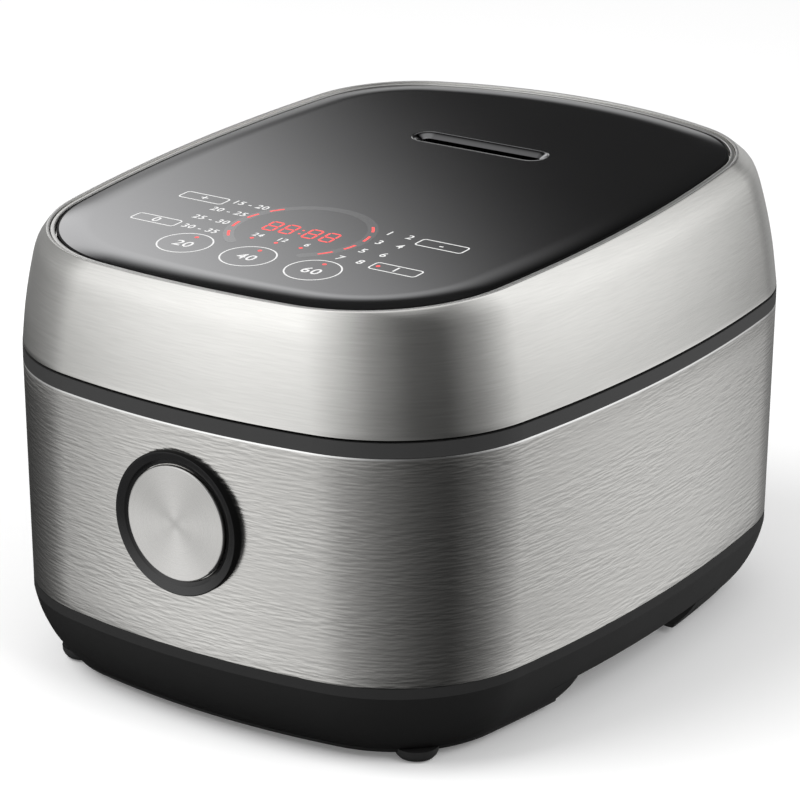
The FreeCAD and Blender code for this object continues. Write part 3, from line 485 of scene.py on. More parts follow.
def setLoop(points, z, forward=0.0, tilt=0.0, lift=0.0):
    c, s = cos(radians(tilt)), sin(radians(tilt))
    return [
        (x * mm, (y * c - lift * s - forward) * mm, (y * s + lift * c + z) * mm) for x, y in points
    ]


def newPiece(name, points, faces, sharp=32.0):
    mesh = bpy.data.meshes.new(name)
    mesh.from_pydata(points, [], faces)
    mesh.validate()
    mesh.shade_smooth()
    mesh.set_sharp_from_angle(angle=radians(sharp))
    piece = bpy.data.objects.new(name, mesh)
    scene.collection.objects.link(piece)
    return piece


def skin(name, loops, closed=True, sharp=32.0, caps=False):
    # quads from each loop to the next; closed joins the last loop to the first, caps fill both ends
    count = len(loops[0])
    points = [p for loop in loops for p in loop]
    faces = []
    for k in range(len(loops) if closed else len(loops) - 1):
        low, high = k * count, (k + 1) % len(loops) * count
        for i in range(count):
            j = (i + 1) % count
            faces.append((low + i, low + j, high + j, high + i))
    if caps:
        faces += [tuple(reversed(range(count))), tuple(range(len(points) - count, len(points)))]
    return newPiece(name, points, faces, sharp)


def settle(piece, body, slot, *stoodFor):
    if len(piece.data.materials) == 0:
        piece.data.materials.append(finishes[slot])
    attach(piece, body)
    if stoodFor:
        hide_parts(*stoodFor)


def dress(piece, slot, second, count, first, last):
    # the slot's finish all over, and the second one on the bands from first to last, of count faces each
    piece.data.materials.append(finishes[slot])
    piece.data.materials.append(second)
    for face in piece.data.polygons:
        face.material_index = 1 if first * count <= face.index < last * count else 0


def carve(piece, cutter, sharp, way="DIFFERENCE"):
    tool = piece.modifiers.new("carve", "BOOLEAN")
    tool.operation = way
    tool.object = cutter
    tool.solver = "EXACT"
    ready = piece.evaluated_get(bpy.context.evaluated_depsgraph_get())
    cut = bpy.data.meshes.new_from_object(ready)
    piece.modifiers.clear()
    piece.data = cut
    cut.shade_smooth()
    cut.set_sharp_from_angle(angle=radians(sharp))
    bpy.data.objects.remove(cutter)


def block(*spans):
    # one or more boxes, each from its low corner to its high one, in millimetres
    points, faces = [], []
    for low, high in spans:
        start = len(points)
        for x in (low[0], high[0]):
            for y in (low[1], high[1]):
                points += [(x * mm, y * mm, z * mm) for z in (low[2], high[2])]
        sides = [(0, 1, 3, 2), (4, 6, 7, 5), (0, 4, 5, 1), (2, 3, 7, 6), (0, 2, 6, 4), (1, 5, 7, 3)]
        faces += [tuple(start + i for i in side) for side in sides]
    return newPiece("cutter", points, faces)


def outward(piece, upward=False):
    mesh = bmesh.new()
    mesh.from_mesh(piece.data)
    bmesh.ops.recalc_face_normals(mesh, faces=mesh.faces)
    for face in mesh.faces:
        if upward and face.normal.z < 0:
            face.normal_flip()
    mesh.to_mesh(piece.data)
    mesh.free()


def spunLoops(profile, steps, z):
    # a turned shape about a level axis that runs front to back
    turn = [2 * pi * i / steps for i in range(steps)]
    return [
        [(radius * cos(a) * mm, y * mm, (radius * sin(a) + z) * mm) for a in turn]
        for radius, y in profile
    ]


# silver lid band with a lip round the sloping panel
lid = {
    "seam": 151.5,
    "rise": 59.3,
    "tilt": 3.1,
    "forward": 7.9,
    "curve": [(0.0, 0.0), (0.33, 0.16), (0.66, 0.41), (0.88, 0.66), (1.0, 1.0)],  # climb and lean
    "wall": 2.4,
    "seamEdge": [(0.0, 0.5), (0.004, 0.12)],  # climb and inset
    "outside": (0.014, 0.99, 26),  # from one climb to another, in steps
    "inside": (0.9, 0.0, 12),
    # inset and lift, from the outer edge of the rim over the lip to the ledge that holds the panel
    "rim": [(0.05, -0.1), (0.2, 0.0), (0.75, 0.05), (1.1, 0.0), (1.42, -0.12), (1.5, -0.4), (1.5, -2.2),
            (2.4, -3.0), (9.0, -3.0), (9.0, -5.5), (3.4, -5.5)],
    "lipBands": (30, 34),
    "notch": (49.5, 150.0, 250.0, 150.5, 172.0),  # half width, front, back, low, high
    "sharp": 38.0,
}


def leanAt(climb):
    spots = lid["curve"]
    slopes = []
    for i in range(len(spots)):
        a, b = spots[max(i - 1, 0)], spots[min(i + 1, len(spots) - 1)]
        slopes.append((b[1] - a[1]) / (b[0] - a[0]))
    for i in range(len(spots) - 1):
        (c0, l0), (c1, l1) = spots[i], spots[i + 1]
        if climb <= c1 + 1e-9:
            w = c1 - c0
            t = (climb - c0) / w
            return (
                (2 * t ** 3 - 3 * t ** 2 + 1) * l0 + (t ** 3 - 2 * t ** 2 + t) * w * slopes[i]
                + (3 * t ** 2 - 2 * t ** 3) * l1 + (t ** 3 - t ** 2) * w * slopes[i + 1]
            )


def lidLoop(climb, inset):
    lean = leanAt(climb)
    plan = between(plans["body"], plans["rim"], lean)
    return setLoop(
        planLoop(plan, inset), lid["seam"] + lid["rise"] * climb, lid["forward"] * lean, lid["tilt"] * climb
    )


def onRim(points, lift):
    return setLoop(points, lid["seam"] + lid["rise"], lid["forward"], lid["tilt"], lift)


def rimLoop(inset, lift):
    return onRim(planLoop(plans["rim"], inset), lift)


def wallLoops(span, inset):
    first, last, steps = span
    return [lidLoop(first + (last - first) * i / steps, inset) for i in range(steps + 1)]


def makeLid():
    loops = [lidLoop(climb, inset) for climb, inset in lid["seamEdge"]] + wallLoops(lid["outside"], 0.0)
    loops += [rimLoop(inset, lift) for inset, lift in lid["rim"]] + wallLoops(lid["inside"], lid["wall"])
    piece = skin("lidBand", loops, sharp=lid["sharp"])
    dress(piece, "lid_silver", tonedFinish("lidLip"), len(loops[0]), *lid["lipBands"])
    side, front, back, low, high = lid["notch"]
    carve(piece, block(((-side, front, low), (side, back, high))), lid["sharp"])
    settle(piece, "lid", "lid_silver", "lid_shell")


makeLid()


# steel wrap with a rolled top edge and a hole for the opening button
wrap = {
    "low": 41.0, "high": 144.0, "fold": 1.1, "rises": 10, "sharp": 40.0,
    "under": [(0.0, 0.8), (0.0, 0.5), (0.12, 0.12), (0.5, 0.0)],  # height and inset
    "roll": [(0.55, 0.1), (0.2, 0.32), (0.0, 0.7), (0.0, 0.8)],  # share of the fold and inset
    "hole": 32.2, "holeHeight": 100.0, "holeSpan": (-200.0, -120.0), "holeSteps": 96,
}


def makeWrap():
    def level(z, inset):
        share = (z - wrap["low"]) / (wrap["high"] - wrap["low"])
        return setLoop(planLoop(between(plans["base"], plans["body"], share), inset), z)

    high, fold, rises = wrap["high"], wrap["fold"], wrap["rises"]
    loops = [level(wrap["low"] + up, inset) for up, inset in wrap["under"]]
    start = wrap["low"] + wrap["under"][-1][0]
    loops += [level(start + (high - start - fold) * i / rises, 0.0) for i in range(1, rises + 1)]
    # from here up, the bands of the rolled top edge take a brighter copy of the steel, a painted highlight
    highlightStart = len(loops) - 1
    loops += [level(high - fold * share, inset) for share, inset in wrap["roll"]]
    piece = skin("steelWrap", loops, sharp=wrap["sharp"])
    dress(piece, "brushed_steel", tonedFinish("foldedEdgePaintedHighlight"), len(loops[0]), highlightStart, len(loops) - 1)
    rings = spunLoops([(wrap["hole"], y) for y in wrap["holeSpan"]], wrap["holeSteps"], wrap["holeHeight"])
    cutter = skin("cutter", rings, closed=False, caps=True)
    carve(piece, cutter, wrap["sharp"])
    settle(piece, "housing", "brushed_steel", "steel_wrap")


makeWrap()
print("lid band and steel wrap made")


# dished ring round the opening button
bezel = {
    "z": 100.0, "face": -172.6, "bore": 26.0, "radius": 32.0, "back": -164.5, "hub": 7.0, "web": 1.7,
    # from the bore and from the face, then from the rim and from the face
    "dish": [(0.0, 1.9), (0.12, 1.55), (0.4, 1.4), (1.7, 1.05), (1.9, 0.84), (2.1, 0.75), (2.3, 0.67)],
    "crest": [(-1.1, -0.28), (-0.9, -0.36), (-0.55, -0.46), (-0.2, -0.32), (0.0, 0.0), (0.0, 5.5)],
    "neck": 2.0, "steps": 128, "wallBands": (12, 15), "sharp": 35.0,
}


def makeBezel():
    face, back, bore, radius = bezel["face"], bezel["back"], bezel["bore"], bezel["radius"]
    neck, floor, hub = bore + bezel["neck"], back + bezel["web"], bezel["hub"]
    profile = [(hub, back), (bore, back)]
    profile += [(bore + out, face + down) for out, down in bezel["dish"]]
    profile += [(radius + out, face + down) for out, down in bezel["crest"]]
    profile += [(neck, profile[-1][1]), (neck, floor), (hub, floor)]
    piece = skin("buttonRing", spunLoops(profile, bezel["steps"], bezel["z"]), sharp=bezel["sharp"])
    outward(piece)
    wall = mouldedPlastic("ringWall", (0.004, 0.004, 0.004), 0.45, 1500.0, 0.00001, 0.06)
    dress(piece, "gloss_black", wall, bezel["steps"], *bezel["wallBands"])
    settle(piece, "housing", "gloss_black", "button_bezel")


makeBezel()
print("button ring made")


# coils that are pressed together by the button and by the pot
springs = {
    "buttonCoil": {"node": "button_spring", "joint": "button_push", "radius": 10.0, "wire": 0.4,
                   "length": 6.1, "turns": 3, "foot": (0.0, -164.5, 100.0), "along": (0, -1, 0), "travel": 3.0},
    "sensorCoil": {"node": "sensor_spring", "joint": "sensor_plunge", "radius": 8.0, "wire": 0.6,
                   "length": 8.7, "turns": 4, "foot": (0.0, 0.0, 25.5), "along": (0, 0, 1), "travel": 2.0},
}
wireFacets = {"round": 10, "perTurn": 30, "sharp": 50.0}


def makeSpring(name, coil):
    along = Vector(coil["along"])
    first = Vector((1, 0, 0))
    second = along.cross(first)
    foot = Vector(coil["foot"])
    wire, sides, steps = coil["wire"], wireFacets["round"], wireFacets["perTurn"] * coil["turns"]
    loops = []
    for i in range(steps + 1):
        a = 2 * pi * coil["turns"] * i / steps
        out = first * cos(a) + second * sin(a)
        middle = foot + out * coil["radius"] + along * (wire + (coil["length"] - 2 * wire) * i / steps)
        turn = [2 * pi * k / sides for k in range(sides)]
        loops.append([(middle + out * wire * cos(b) + along * wire * sin(b)) * mm for b in turn])
    piece = skin(name, loops, closed=False, sharp=wireFacets["sharp"], caps=True)
    outward(piece)
    settle(piece, "housing", "spring_steel", coil["node"])
    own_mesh(piece)


for name, coil in springs.items():
    makeSpring(name, coil)
print("springs made")


# dark touch panel, rolled down all round, with the steam outlet let into it
panel = {
    "edge": 4.6, "base": -3.0, "proud": 0.3, "drop": 1.2, "sharp": 50.0, "edgeShadeBands": (0, 4),
    "ease": [(0.0, 0.35), (0.1, 0.1)],  # inset and depth under the drop
    "roll": (0.3, 15.0, 14, 1.1),  # from one inset to another, in steps, and how they crowd outward
}
vent = {
    "length": 74.0, "width": 16.4, "back": 64.0, "gap": 0.15,
    "slotLength": 64.5, "slotWidth": 6.2, "recess": 1.9, "depth": 8.0, "proud": 0.1,
    "rim": [(0.0, 0.4), (0.1, 0.14), (0.35, 0.0), (0.6, 0.08), (0.7, 0.2)],  # inset and drop
    "rimBands": (1, 4), "dishSteps": 8, "dishPower": 1.6, "slotEase": 0.5, "sharp": 30.0,
}
trim = {
    "section": [(1.9, -2.0), (1.9, -0.85), (2.0, -0.7), (2.2, -0.62), (3.5, -0.62), (3.8, -0.7), (3.9, -0.85),
                (3.9, -2.0)],  # inset and lift
    "sharp": 50.0,
}


def stadium(length, width, middle, steps=20):
    radius = width / 2
    reach = length / 2 - radius
    right = [(-pi / 2 + pi * i / steps) for i in range(steps + 1)]
    loop = [(reach + radius * cos(a), middle + radius * sin(a)) for a in right]
    loop += [(-reach - radius * cos(a), middle - radius * sin(a)) for a in right]
    return loop


def fillBetween(mesh, outer, inner):
    edges = []
    for loop in (outer, inner):
        pairs = zip(loop, loop[1:] + loop[:1])
        edges += [mesh.edges.get(pair) or mesh.edges.new(pair) for pair in pairs]
    bmesh.ops.triangle_fill(mesh, edges=edges, use_beauty=True)


def makePanel():
    edge, top = panel["edge"], panel["proud"]
    low = top - panel["drop"]
    start, end, steps, crowd = panel["roll"]
    loops = [rimLoop(edge, panel["base"])]
    loops += [rimLoop(edge + inset, low - depth) for inset, depth in panel["ease"]]
    for i in range(steps + 1):
        share = (i / steps) ** crowd
        loops.append(rimLoop(edge + start + (end - start) * share, top - panel["drop"] * (1 - share) ** 2))
    piece = skin("touchPanel", loops, closed=False, sharp=panel["sharp"])
    mesh = bmesh.new()
    mesh.from_mesh(piece.data)
    mesh.verts.ensure_lookup_table()
    count = len(loops[0])
    first = [mesh.verts[i] for i in range(count)]
    last = [mesh.verts[len(mesh.verts) - count + i] for i in range(count)]
    hole = stadium(vent["length"], vent["width"], vent["back"])
    upper = [mesh.verts.new(p) for p in onRim(hole, top)]
    lower = [mesh.verts.new(p) for p in onRim(hole, panel["base"])]
    for i in range(len(hole)):
        j = (i + 1) % len(hole)
        mesh.faces.new((upper[i], upper[j], lower[j], lower[i]))
    fillBetween(mesh, last, upper)
    fillBetween(mesh, first, lower)
    mesh.to_mesh(piece.data)
    mesh.free()
    outward(piece)
    piece.data.shade_smooth()
    piece.data.set_sharp_from_angle(angle=radians(panel["sharp"]))
    # painted shade: the rolled-down edge of the panel takes a near-black, almost unreflecting finish in place
    # of the panel's own
    edgeShade = mouldedPlastic("panelEdgeShade", (0.004, 0.004, 0.004), 0.4, 1500.0, 0.00001, 0.04)
    dress(piece, "dark_panel", edgeShade, count, *panel["edgeShadeBands"])
    settle(piece, "lid", "dark_panel", "top_panel")


def makeVent():
    length, width, middle = vent["length"], vent["width"], vent["back"]

    def ring(inset, lift):
        return onRim(stadium(length - 2 * inset, width - 2 * inset, middle), lift)

    top = panel["proud"] + vent["proud"]
    gap = vent["gap"]
    inset, drop = vent["rim"][-1]
    loops = [ring(gap, -vent["depth"])] + [ring(gap + out, top - down) for out, down in vent["rim"]]
    rimLength, rimWidth = length - 2 * (gap + inset), width - 2 * (gap + inset)
    for i in range(1, vent["dishSteps"] + 1):
        share = i / vent["dishSteps"]
        nextLength = rimLength + (vent["slotLength"] - rimLength) * share
        nextWidth = rimWidth + (vent["slotWidth"] - rimWidth) * share
        dip = vent["recess"] * share ** vent["dishPower"]
        loops.append(onRim(stadium(nextLength, nextWidth, middle), top - drop - dip))
    slot = stadium(vent["slotLength"], vent["slotWidth"], middle)
    loops += [onRim(slot, -vent["recess"] - vent["slotEase"]), onRim(slot, -vent["depth"])]
    piece = skin("steamOutlet", loops, sharp=vent["sharp"])
    rim = plainMetal("ventRim", (0.42, 0.42, 0.42), 0.2, 400.0)
    dress(piece, "dark_panel", rim, len(loops[0]), *vent["rimBands"])
    settle(piece, "lid", "dark_panel", "vent_insert")


def makeTrim():
    loops = [rimLoop(inset, lift) for inset, lift in trim["section"]]
    piece = skin("panelTrim", loops, sharp=trim["sharp"])
    settle(piece, "lid", "trim_chrome", "panel_trim")


makePanel()
makeVent()
makeTrim()
print("panel, steam outlet and trim made")


# print and lights on the panel, in millimetres on its face
layout = {
    "shift": 0.6,
    "ring": (0.0, -75.8, 28.9, 33.5),  # across, along, inner and outer radius
    "ringEnds": (-53.0, 233.0),
    "steps": {"ring": 72, "ringEnd": 10, "circle": 64, "corner": 6, "dash": 8, "dot": 20},
    "dashes": (11.5, 34.2),
    "dash": (12.4, 1.25),  # degrees and width
    "circle": (12.2, -113.2, 0.72),  # radius, place along, line
    "circlesAt": (-33.9, 0.0, 33.9),
    "keys": [(-64.2, -60.9), (-64.2, -95.0), (63.6, -61.0), (63.6, -95.3)],
    "key": (23.6, 8.0, 1.7, 0.72),  # length, height, corner, line
    "digits": (-14.4, -5.6, 6.7, 15.8),
    "digit": (5.6, 10.6, 1.05, -0.06),  # width, height, bar, lean
    "digitsAt": -76.4,
    "rows": [(-58.7, 40.1), (-70.6, 43.0), (-83.0, 43.3), (-95.1, 39.9)],
    "labels": (-12.9, 0.0, 13.2),
    # size of the figures, how far they stand above their place, and the figures
    "circleText": (9.0, -1.4, ("20", "40", "60")),
    "keyText": (7.4, -0.1, ("+", "0", "-", "1")),
    "labelText": (5.2, -89.1, ("24", "12", "6")),
    "rangeText": (6.2, 15, 5),  # size, the first figure and the step from one to the next
    "pairText": (6.6, 5.3),  # size and half the space between the two
    "colon": [(0.5, 2.0, 0.65), (1.3, -2.4, 0.65)],
    "circleDot": (8.2, 1.0),
    "labelDot": (-0.2, -93.4, 0.95),
    "keyDot": (54.6, -95.4, 1.0),
    "digitGap": 0.22,
    "lifts": {"panelHalo": 0.012, "panelPrint": 0.02, "panelLights": 0.03},
}
figures = {"bold": 0.1, "space": 1.08, "facets": 3}


def strip(path, width, closed):
    # a flat band of even width along a path
    points, faces = [], []
    count = len(path)
    for i in range(count):
        before = path[i - 1] if closed or i else path[i]
        after = path[(i + 1) % count] if closed or i < count - 1 else path[i]
        run = Vector((after[0] - before[0], after[1] - before[1])).normalized()
        side = Vector((-run.y, run.x)) * width / 2
        points += [(path[i][0] + side.x, path[i][1] + side.y), (path[i][0] - side.x, path[i][1] - side.y)]
    for i in range(count if closed else count - 1):
        j = (i + 1) % count
        faces.append((2 * i + 1, 2 * j + 1, 2 * j, 2 * i))
    return points, faces


def arcPath(x, y, radius, start, end, steps):
    turn = [radians(start + (end - start) * i / steps) for i in range(steps + 1)]
    return [(x + radius * cos(a), y + radius * sin(a)) for a in turn]


def disc(x, y, radius):
    steps = layout["steps"]["dot"]
    path = arcPath(x, y, radius, 0, 360, steps)[:-1]
    return path, [tuple(range(steps))]


def keyPath(x, y, length, height, corner):
    path = []
    for sx, sy, start in ((1, 1, 0), (-1, 1, 90), (-1, -1, 180), (1, -1, 270)):
        cx, cy = x + sx * (length / 2 - corner), y + sy * (height / 2 - corner)
        path += arcPath(cx, cy, corner, start, start + 90, layout["steps"]["corner"])
    return path


def segments(x, y):
    # the seven bars of one lit figure
    width, height, thick, lean = layout["digit"]
    gap = layout["digitGap"]
    w, h, t = width / 2, height / 2, thick / 2
    bars = [((-w, h), (w, h)), ((-w, 0), (w, 0)), ((-w, -h), (w, -h))]
    bars += [((-w, 0), (-w, h)), ((w, 0), (w, h)), ((-w, -h), (-w, 0)), ((w, -h), (w, 0))]
    made = []
    for (ax, ay), (bx, by) in bars:
        run = Vector((bx - ax, by - ay)).normalized()
        side = Vector((-run.y, run.x)) * t
        a = Vector((ax, ay)) + run * gap
        b = Vector((bx, by)) - run * gap
        shape = [a, a + run * t - side, b - run * t - side, b, b - run * t + side, a + run * t + side]
        made.append(([(x + p.x + lean * p.y, y + p.y) for p in shape], [tuple(range(6))]))
    return made


def numberShape(words, x, y, size):
    data = bpy.data.curves.new("number", "FONT")
    data.body = words
    data.size = size
    data.align_x = "CENTER"
    data.align_y = "CENTER"
    data.resolution_u = figures["facets"]
    data.space_character = figures["space"]
    data.offset = figures["bold"]
    carrier = bpy.data.objects.new("number", data)
    scene.collection.objects.link(carrier)
    bpy.context.view_layer.update()
    shape = bpy.data.meshes.new_from_object(carrier.evaluated_get(bpy.context.evaluated_depsgraph_get()))
    points = [(x + v.co.x, y + v.co.y) for v in shape.vertices]
    faces = [tuple(f.vertices) for f in shape.polygons]
    bpy.data.objects.remove(carrier)
    return points, faces


def printOn(name, shapes, material, slot):
    points, faces = [], []
    lift = panel["proud"] + layout["lifts"][name]
    for flat, sides in shapes:
        start = len(points)
        points += onRim([(x + layout["shift"], y) for x, y in flat], lift)
        faces += [tuple(start + i for i in side) for side in sides]
    piece = newPiece(name, points, faces)
    outward(piece, upward=True)
    piece.data.materials.append(material)
    settle(piece, "lid", slot)


def printPanel():
    rx, ry, inner, outer = layout["ring"]
    middle = (inner + outer) / 2
    first, last = layout["ringEnds"]
    steps = layout["steps"]

    def roundEnd(angle, start):
        a = radians(angle)
        x, y = rx + middle * cos(a), ry + middle * sin(a)
        return arcPath(x, y, (outer - inner) / 2, start, start + 180, steps["ringEnd"])[1:-1]

    band = arcPath(rx, ry, outer, first, last, steps["ring"]) + roundEnd(last, last)
    band += arcPath(rx, ry, inner, last, first, steps["ring"]) + roundEnd(first, first + 180)
    printOn("panelHalo", [(band, [tuple(range(len(band)))])], tonedFinish("haloPrint"), "dark_panel")

    radius, cy, line = layout["circle"]
    circles = [arcPath(x, cy, radius, 0, 360, steps["circle"])[:-1] for x in layout["circlesAt"]]
    lines = [strip(circle, line, True) for circle in circles]
    length, height, corner, line = layout["key"]
    lines += [strip(keyPath(x, y, length, height, corner), line, True) for x, y in layout["keys"]]
    spots = {"circleText": [(x, cy) for x in layout["circlesAt"]], "keyText": layout["keys"]}
    spots["labelText"] = [(x, 0.0) for x in layout["labels"]]
    for key, places in spots.items():
        size, up, texts = layout[key]
        lines += [numberShape(text, x, y + up, size) for text, (x, y) in zip(texts, places)]
    rangeSize, low, step = layout["rangeText"]
    size, apart = layout["pairText"]
    for k, (y, x) in enumerate(layout["rows"]):
        text = str(low + step * k) + " - " + str(low + step * (k + 1))
        lines.append(numberShape(text, -x, y, rangeSize))
        lines.append(numberShape(str(2 * k + 1), x - apart, y, size))
        lines.append(numberShape(str(2 * k + 2), x + apart, y, size))
    printOn("panelPrint", lines, tonedFinish("printWhite"), "dark_panel")

    lights = []
    span, thick = layout["dash"]
    for angle in layout["dashes"]:
        for turn in (angle, -angle, 180 - angle, 180 + angle):
            path = arcPath(rx, ry, middle, turn - span / 2, turn + span / 2, steps["dash"])
            lights.append(strip(path, thick, False))
    for x in layout["digits"]:
        lights += segments(x, layout["digitsAt"])
    lights += [disc(x, layout["digitsAt"] + up, size) for x, up, size in layout["colon"]]
    up, size = layout["circleDot"]
    lights += [disc(x, cy + up, size) for x in layout["circlesAt"]]
    aside, y, size = layout["labelDot"]
    lights += [disc(x + aside, y, size) for x in layout["labels"]]
    lights.append(disc(*layout["keyDot"]))
    printOn("panelLights", lights, redLight(), "display")


printPanel()
print("panel print and lights made")


# what repeats, set out in rows of rows by one node group
def rowsOf(name, source, material, start, step, count, rowStep=(0, 0, 0), rows=1, turn=0.0, seed=1):
    group = bpy.data.node_groups.new(name + "Rows", "GeometryNodeTree")
    kinds = {
        "source": "Object", "material": "Material", "start": "Vector", "step": "Vector", "count": "Int",
        "rowStep": "Vector", "rows": "Int", "turn": "Float", "seed": "Int",
    }
    keys = {}
    for label, kind in kinds.items():
        socket = group.interface.new_socket(label, in_out="INPUT", socket_type="NodeSocket" + kind)
        keys[label] = socket.identifier
    group.interface.new_socket("shape", in_out="OUTPUT", socket_type="NodeSocketGeometry")
    begin = Sock(group)
    entry = group.nodes.new("NodeGroupInput")
    told = {label: Sock(group, entry.outputs[label]) for label in kinds}
    row = begin.node(
        "GeometryNodeMeshLine", {"mode": "OFFSET"},
        {"Count": told["count"], "Start Location": told["start"], "Offset": told["step"]},
    )
    column = begin.node(
        "GeometryNodeMeshLine", {"mode": "OFFSET"}, {"Count": told["rows"], "Offset": told["rowStep"]}
    )
    spots = begin.node("GeometryNodeInstanceOnPoints", None, {"Points": row, "Instance": column})
    spots = begin.node("GeometryNodeRealizeInstances", None, {0: spots})
    lots = begin.node("FunctionNodeRandomValue", {"data_type": "FLOAT"}, {"Seed": told["seed"]}, out=1)
    angle = begin.node("ShaderNodeCombineXYZ", None, {2: lots * told["turn"]})
    shape = begin.node("GeometryNodeObjectInfo", None, {"Object": told["source"]}, out="Geometry")
    copies = begin.node(
        "GeometryNodeInstanceOnPoints", None, {"Points": spots, "Instance": shape, "Rotation": angle}
    )
    plain = begin.node("GeometryNodeRealizeInstances", None, {0: copies})
    dressed = begin.node("GeometryNodeSetMaterial", None, {"Geometry": plain, "Material": told["material"]})
    group.links.new(dressed.link, group.nodes.new("NodeGroupOutput").inputs[0])
    piece = newPiece(name, [], [])
    maker = piece.modifiers.new("rows", "NODES")
    maker.node_group = group
    given = (source, material, start, step, count, rowStep, rows, turn, seed)
    for label, value in zip(kinds, given):
        maker[keys[label]] = value
    ready = piece.evaluated_get(bpy.context.evaluated_depsgraph_get())
    piece.data = bpy.data.meshes.new_from_object(ready)
    piece.modifiers.clear()
    bpy.data.objects.remove(source)
    return piece


def turned(name, profile, steps=40):
    # closed shape turned about an upright axis, given from its lowest ring to its highest
    turn = [2 * pi * i / steps for i in range(steps)]
    loops = [[(r * cos(a) * mm, r * sin(a) * mm, z * mm) for a in turn] for r, z in profile]
    return skin(name, loops, closed=False, caps=True)


# underside: domed feet, screws, a lip round the floor and straight cheeks at the ends of the finger grips
under = {
    "footAt": (-0.092, -0.126, 0.0),
    "foot": [(4.6, 0.0), (6.3, 0.3), (7.8, 1.0), (8.9, 2.2), (9.6, 3.8), (9.8, 6.0)],
    "screwAt": (-0.066, -0.132, 0.006),
    "screw": [(0.9, -0.5), (1.5, -0.5), (1.7, -1.5), (3.2, -1.5), (3.5, -1.2), (3.5, 0.2)],
    "screwFacets": 24, "screwTurn": (6.28, 7),  # most it turns, and the seed
    "lip": [(16.9, 6.2), (16.9, 5.3), (17.3, 4.4), (18.2, 3.9), (21.0, 3.8), (22.5, 4.0), (22.5, 6.2)],
    "grip": (104.3, 49.5, 52.0, 70.0, 19.3),  # inner side, back and front ends, end of the cheeks, top
    "cheek": (6.0, 8, 0.06, 40.0),  # foot, steps, insets of its outside and inside
    "cut": (200.0, 5.0, 20.0), "sharp": 40.0,  # reach to the side, low and high ends
    "tuck": [(6.0, 16.5), (16.0, 8.0), (28.0, 2.2)],
}


def tuckAt(z):
    # the tub's inset at a height, on the curve through its three levels
    total = 0.0
    for a, inset in under["tuck"]:
        share = inset
        for b, _ in under["tuck"]:
            if b != a:
                share *= (z - b) / (a - b)
        total += share
    return total


def makeUnderside():
    def atCorners(name, shape, place, slot, *more):
        x, y, z = under[place]
        return rowsOf(name, shape, finishes[slot], (x, y, z), (-2 * x, 0, 0), 2, (0, -2 * y, 0), 2, *more)

    feet = atCorners("domedFeet", turned("footShape", under["foot"]), "footAt", "rubber")
    settle(feet, "housing", "rubber", "rubber_feet")
    screw = turned("screwShape", under["screw"], under["screwFacets"])
    screws = atCorners("baseScrews", screw, "screwAt", "spring_steel", *under["screwTurn"])
    settle(screws, "housing", "spring_steel")
    plan, sharp = plans["base"], under["sharp"]
    inner, back, front, end, top = under["grip"]
    far, cutLow, cutHigh = under["cut"]
    rings = [setLoop(planLoop(plan, inset), z) for inset, z in reversed(under["lip"])]
    lip = skin("baseLip", rings, sharp=sharp)
    carve(lip, block(((-far, -front, 0.0), (far, back, cutHigh))), sharp)
    low, steps, outside, inside = under["cheek"]
    levels = [low + (top - low) * i / steps for i in range(steps + 1)]
    loops = [setLoop(planLoop(plan, tuckAt(z) + outside), z) for z in levels]
    loops += [setLoop(planLoop(plan, inside), z) for z in reversed(levels)]
    cheeks = skin("gripCheeks", loops, sharp=sharp)
    spans = []
    for left, right in ((inner, far), (-far, -inner)):
        spans += [((left, back, cutLow), (right, end, top)), ((left, -end, cutLow), (right, -front, top))]
    carve(cheeks, block(*spans), sharp, "INTERSECT")
    for piece in (lip, cheeks):
        piece.data.materials.append(special["base_housing"])
        settle(piece, "housing", "black_plastic")


makeUnderside()
print("underside made")


# level marks inside the pot, two scales on its wall
marks = {
    "radius": 107.9, "low": 84.0, "step": 11.0, "count": 5, "length": 10.0, "height": 0.7, "at": (62.0, 118.0),
    "thick": 0.14, "facets": 8, "figure": 6.0, "figureGap": 1.0, "figureThick": 0.1,
}


def wallPoint(across, z, angle, inward):
    radius = marks["radius"] - inward
    a = radians(angle) - across / marks["radius"]
    return radius * cos(a) * mm, radius * sin(a) * mm, z * mm


def makeMarks():
    white = tonedFinish("printPale")
    length, tall, facets = marks["length"], marks["height"] / 2, marks["facets"]
    across = [length * (i / facets - 0.5) for i in range(facets + 1)]
    edge = [(0.0, -tall), (marks["thick"], -tall), (marks["thick"], tall), (0.0, tall)]
    for number, angle in enumerate(marks["at"]):
        loops = [[wallPoint(u, z, angle, inward) for inward, z in edge] for u in across]
        dash = skin("dashShape", loops, closed=False, caps=True)
        outward(dash)
        start, step = (0, 0, marks["low"] * mm), (0, 0, marks["step"] * mm)
        scale = rowsOf("levelMarks" + str(number + 1), dash, white, start, step, marks["count"])
        settle(scale, "housing", "pot_coating")
        points, faces = [], []
        for k in range(marks["count"]):
            text = str((k + 1) * (2 - number))
            flat, shapes = numberShape(text, length + marks["figureGap"], 0.0, marks["figure"])
            start = len(points)
            z = marks["low"] + marks["step"] * k
            points += [wallPoint(u, z + v, angle, marks["figureThick"]) for u, v in flat]
            faces += [tuple(start + i for i in shape) for shape in shapes]
        printed = newPiece("levelFigures" + str(number + 1), points, faces)
        printed.data.materials.append(white)
        settle(printed, "housing", "pot_coating")


makeMarks()
print("pot marks made")


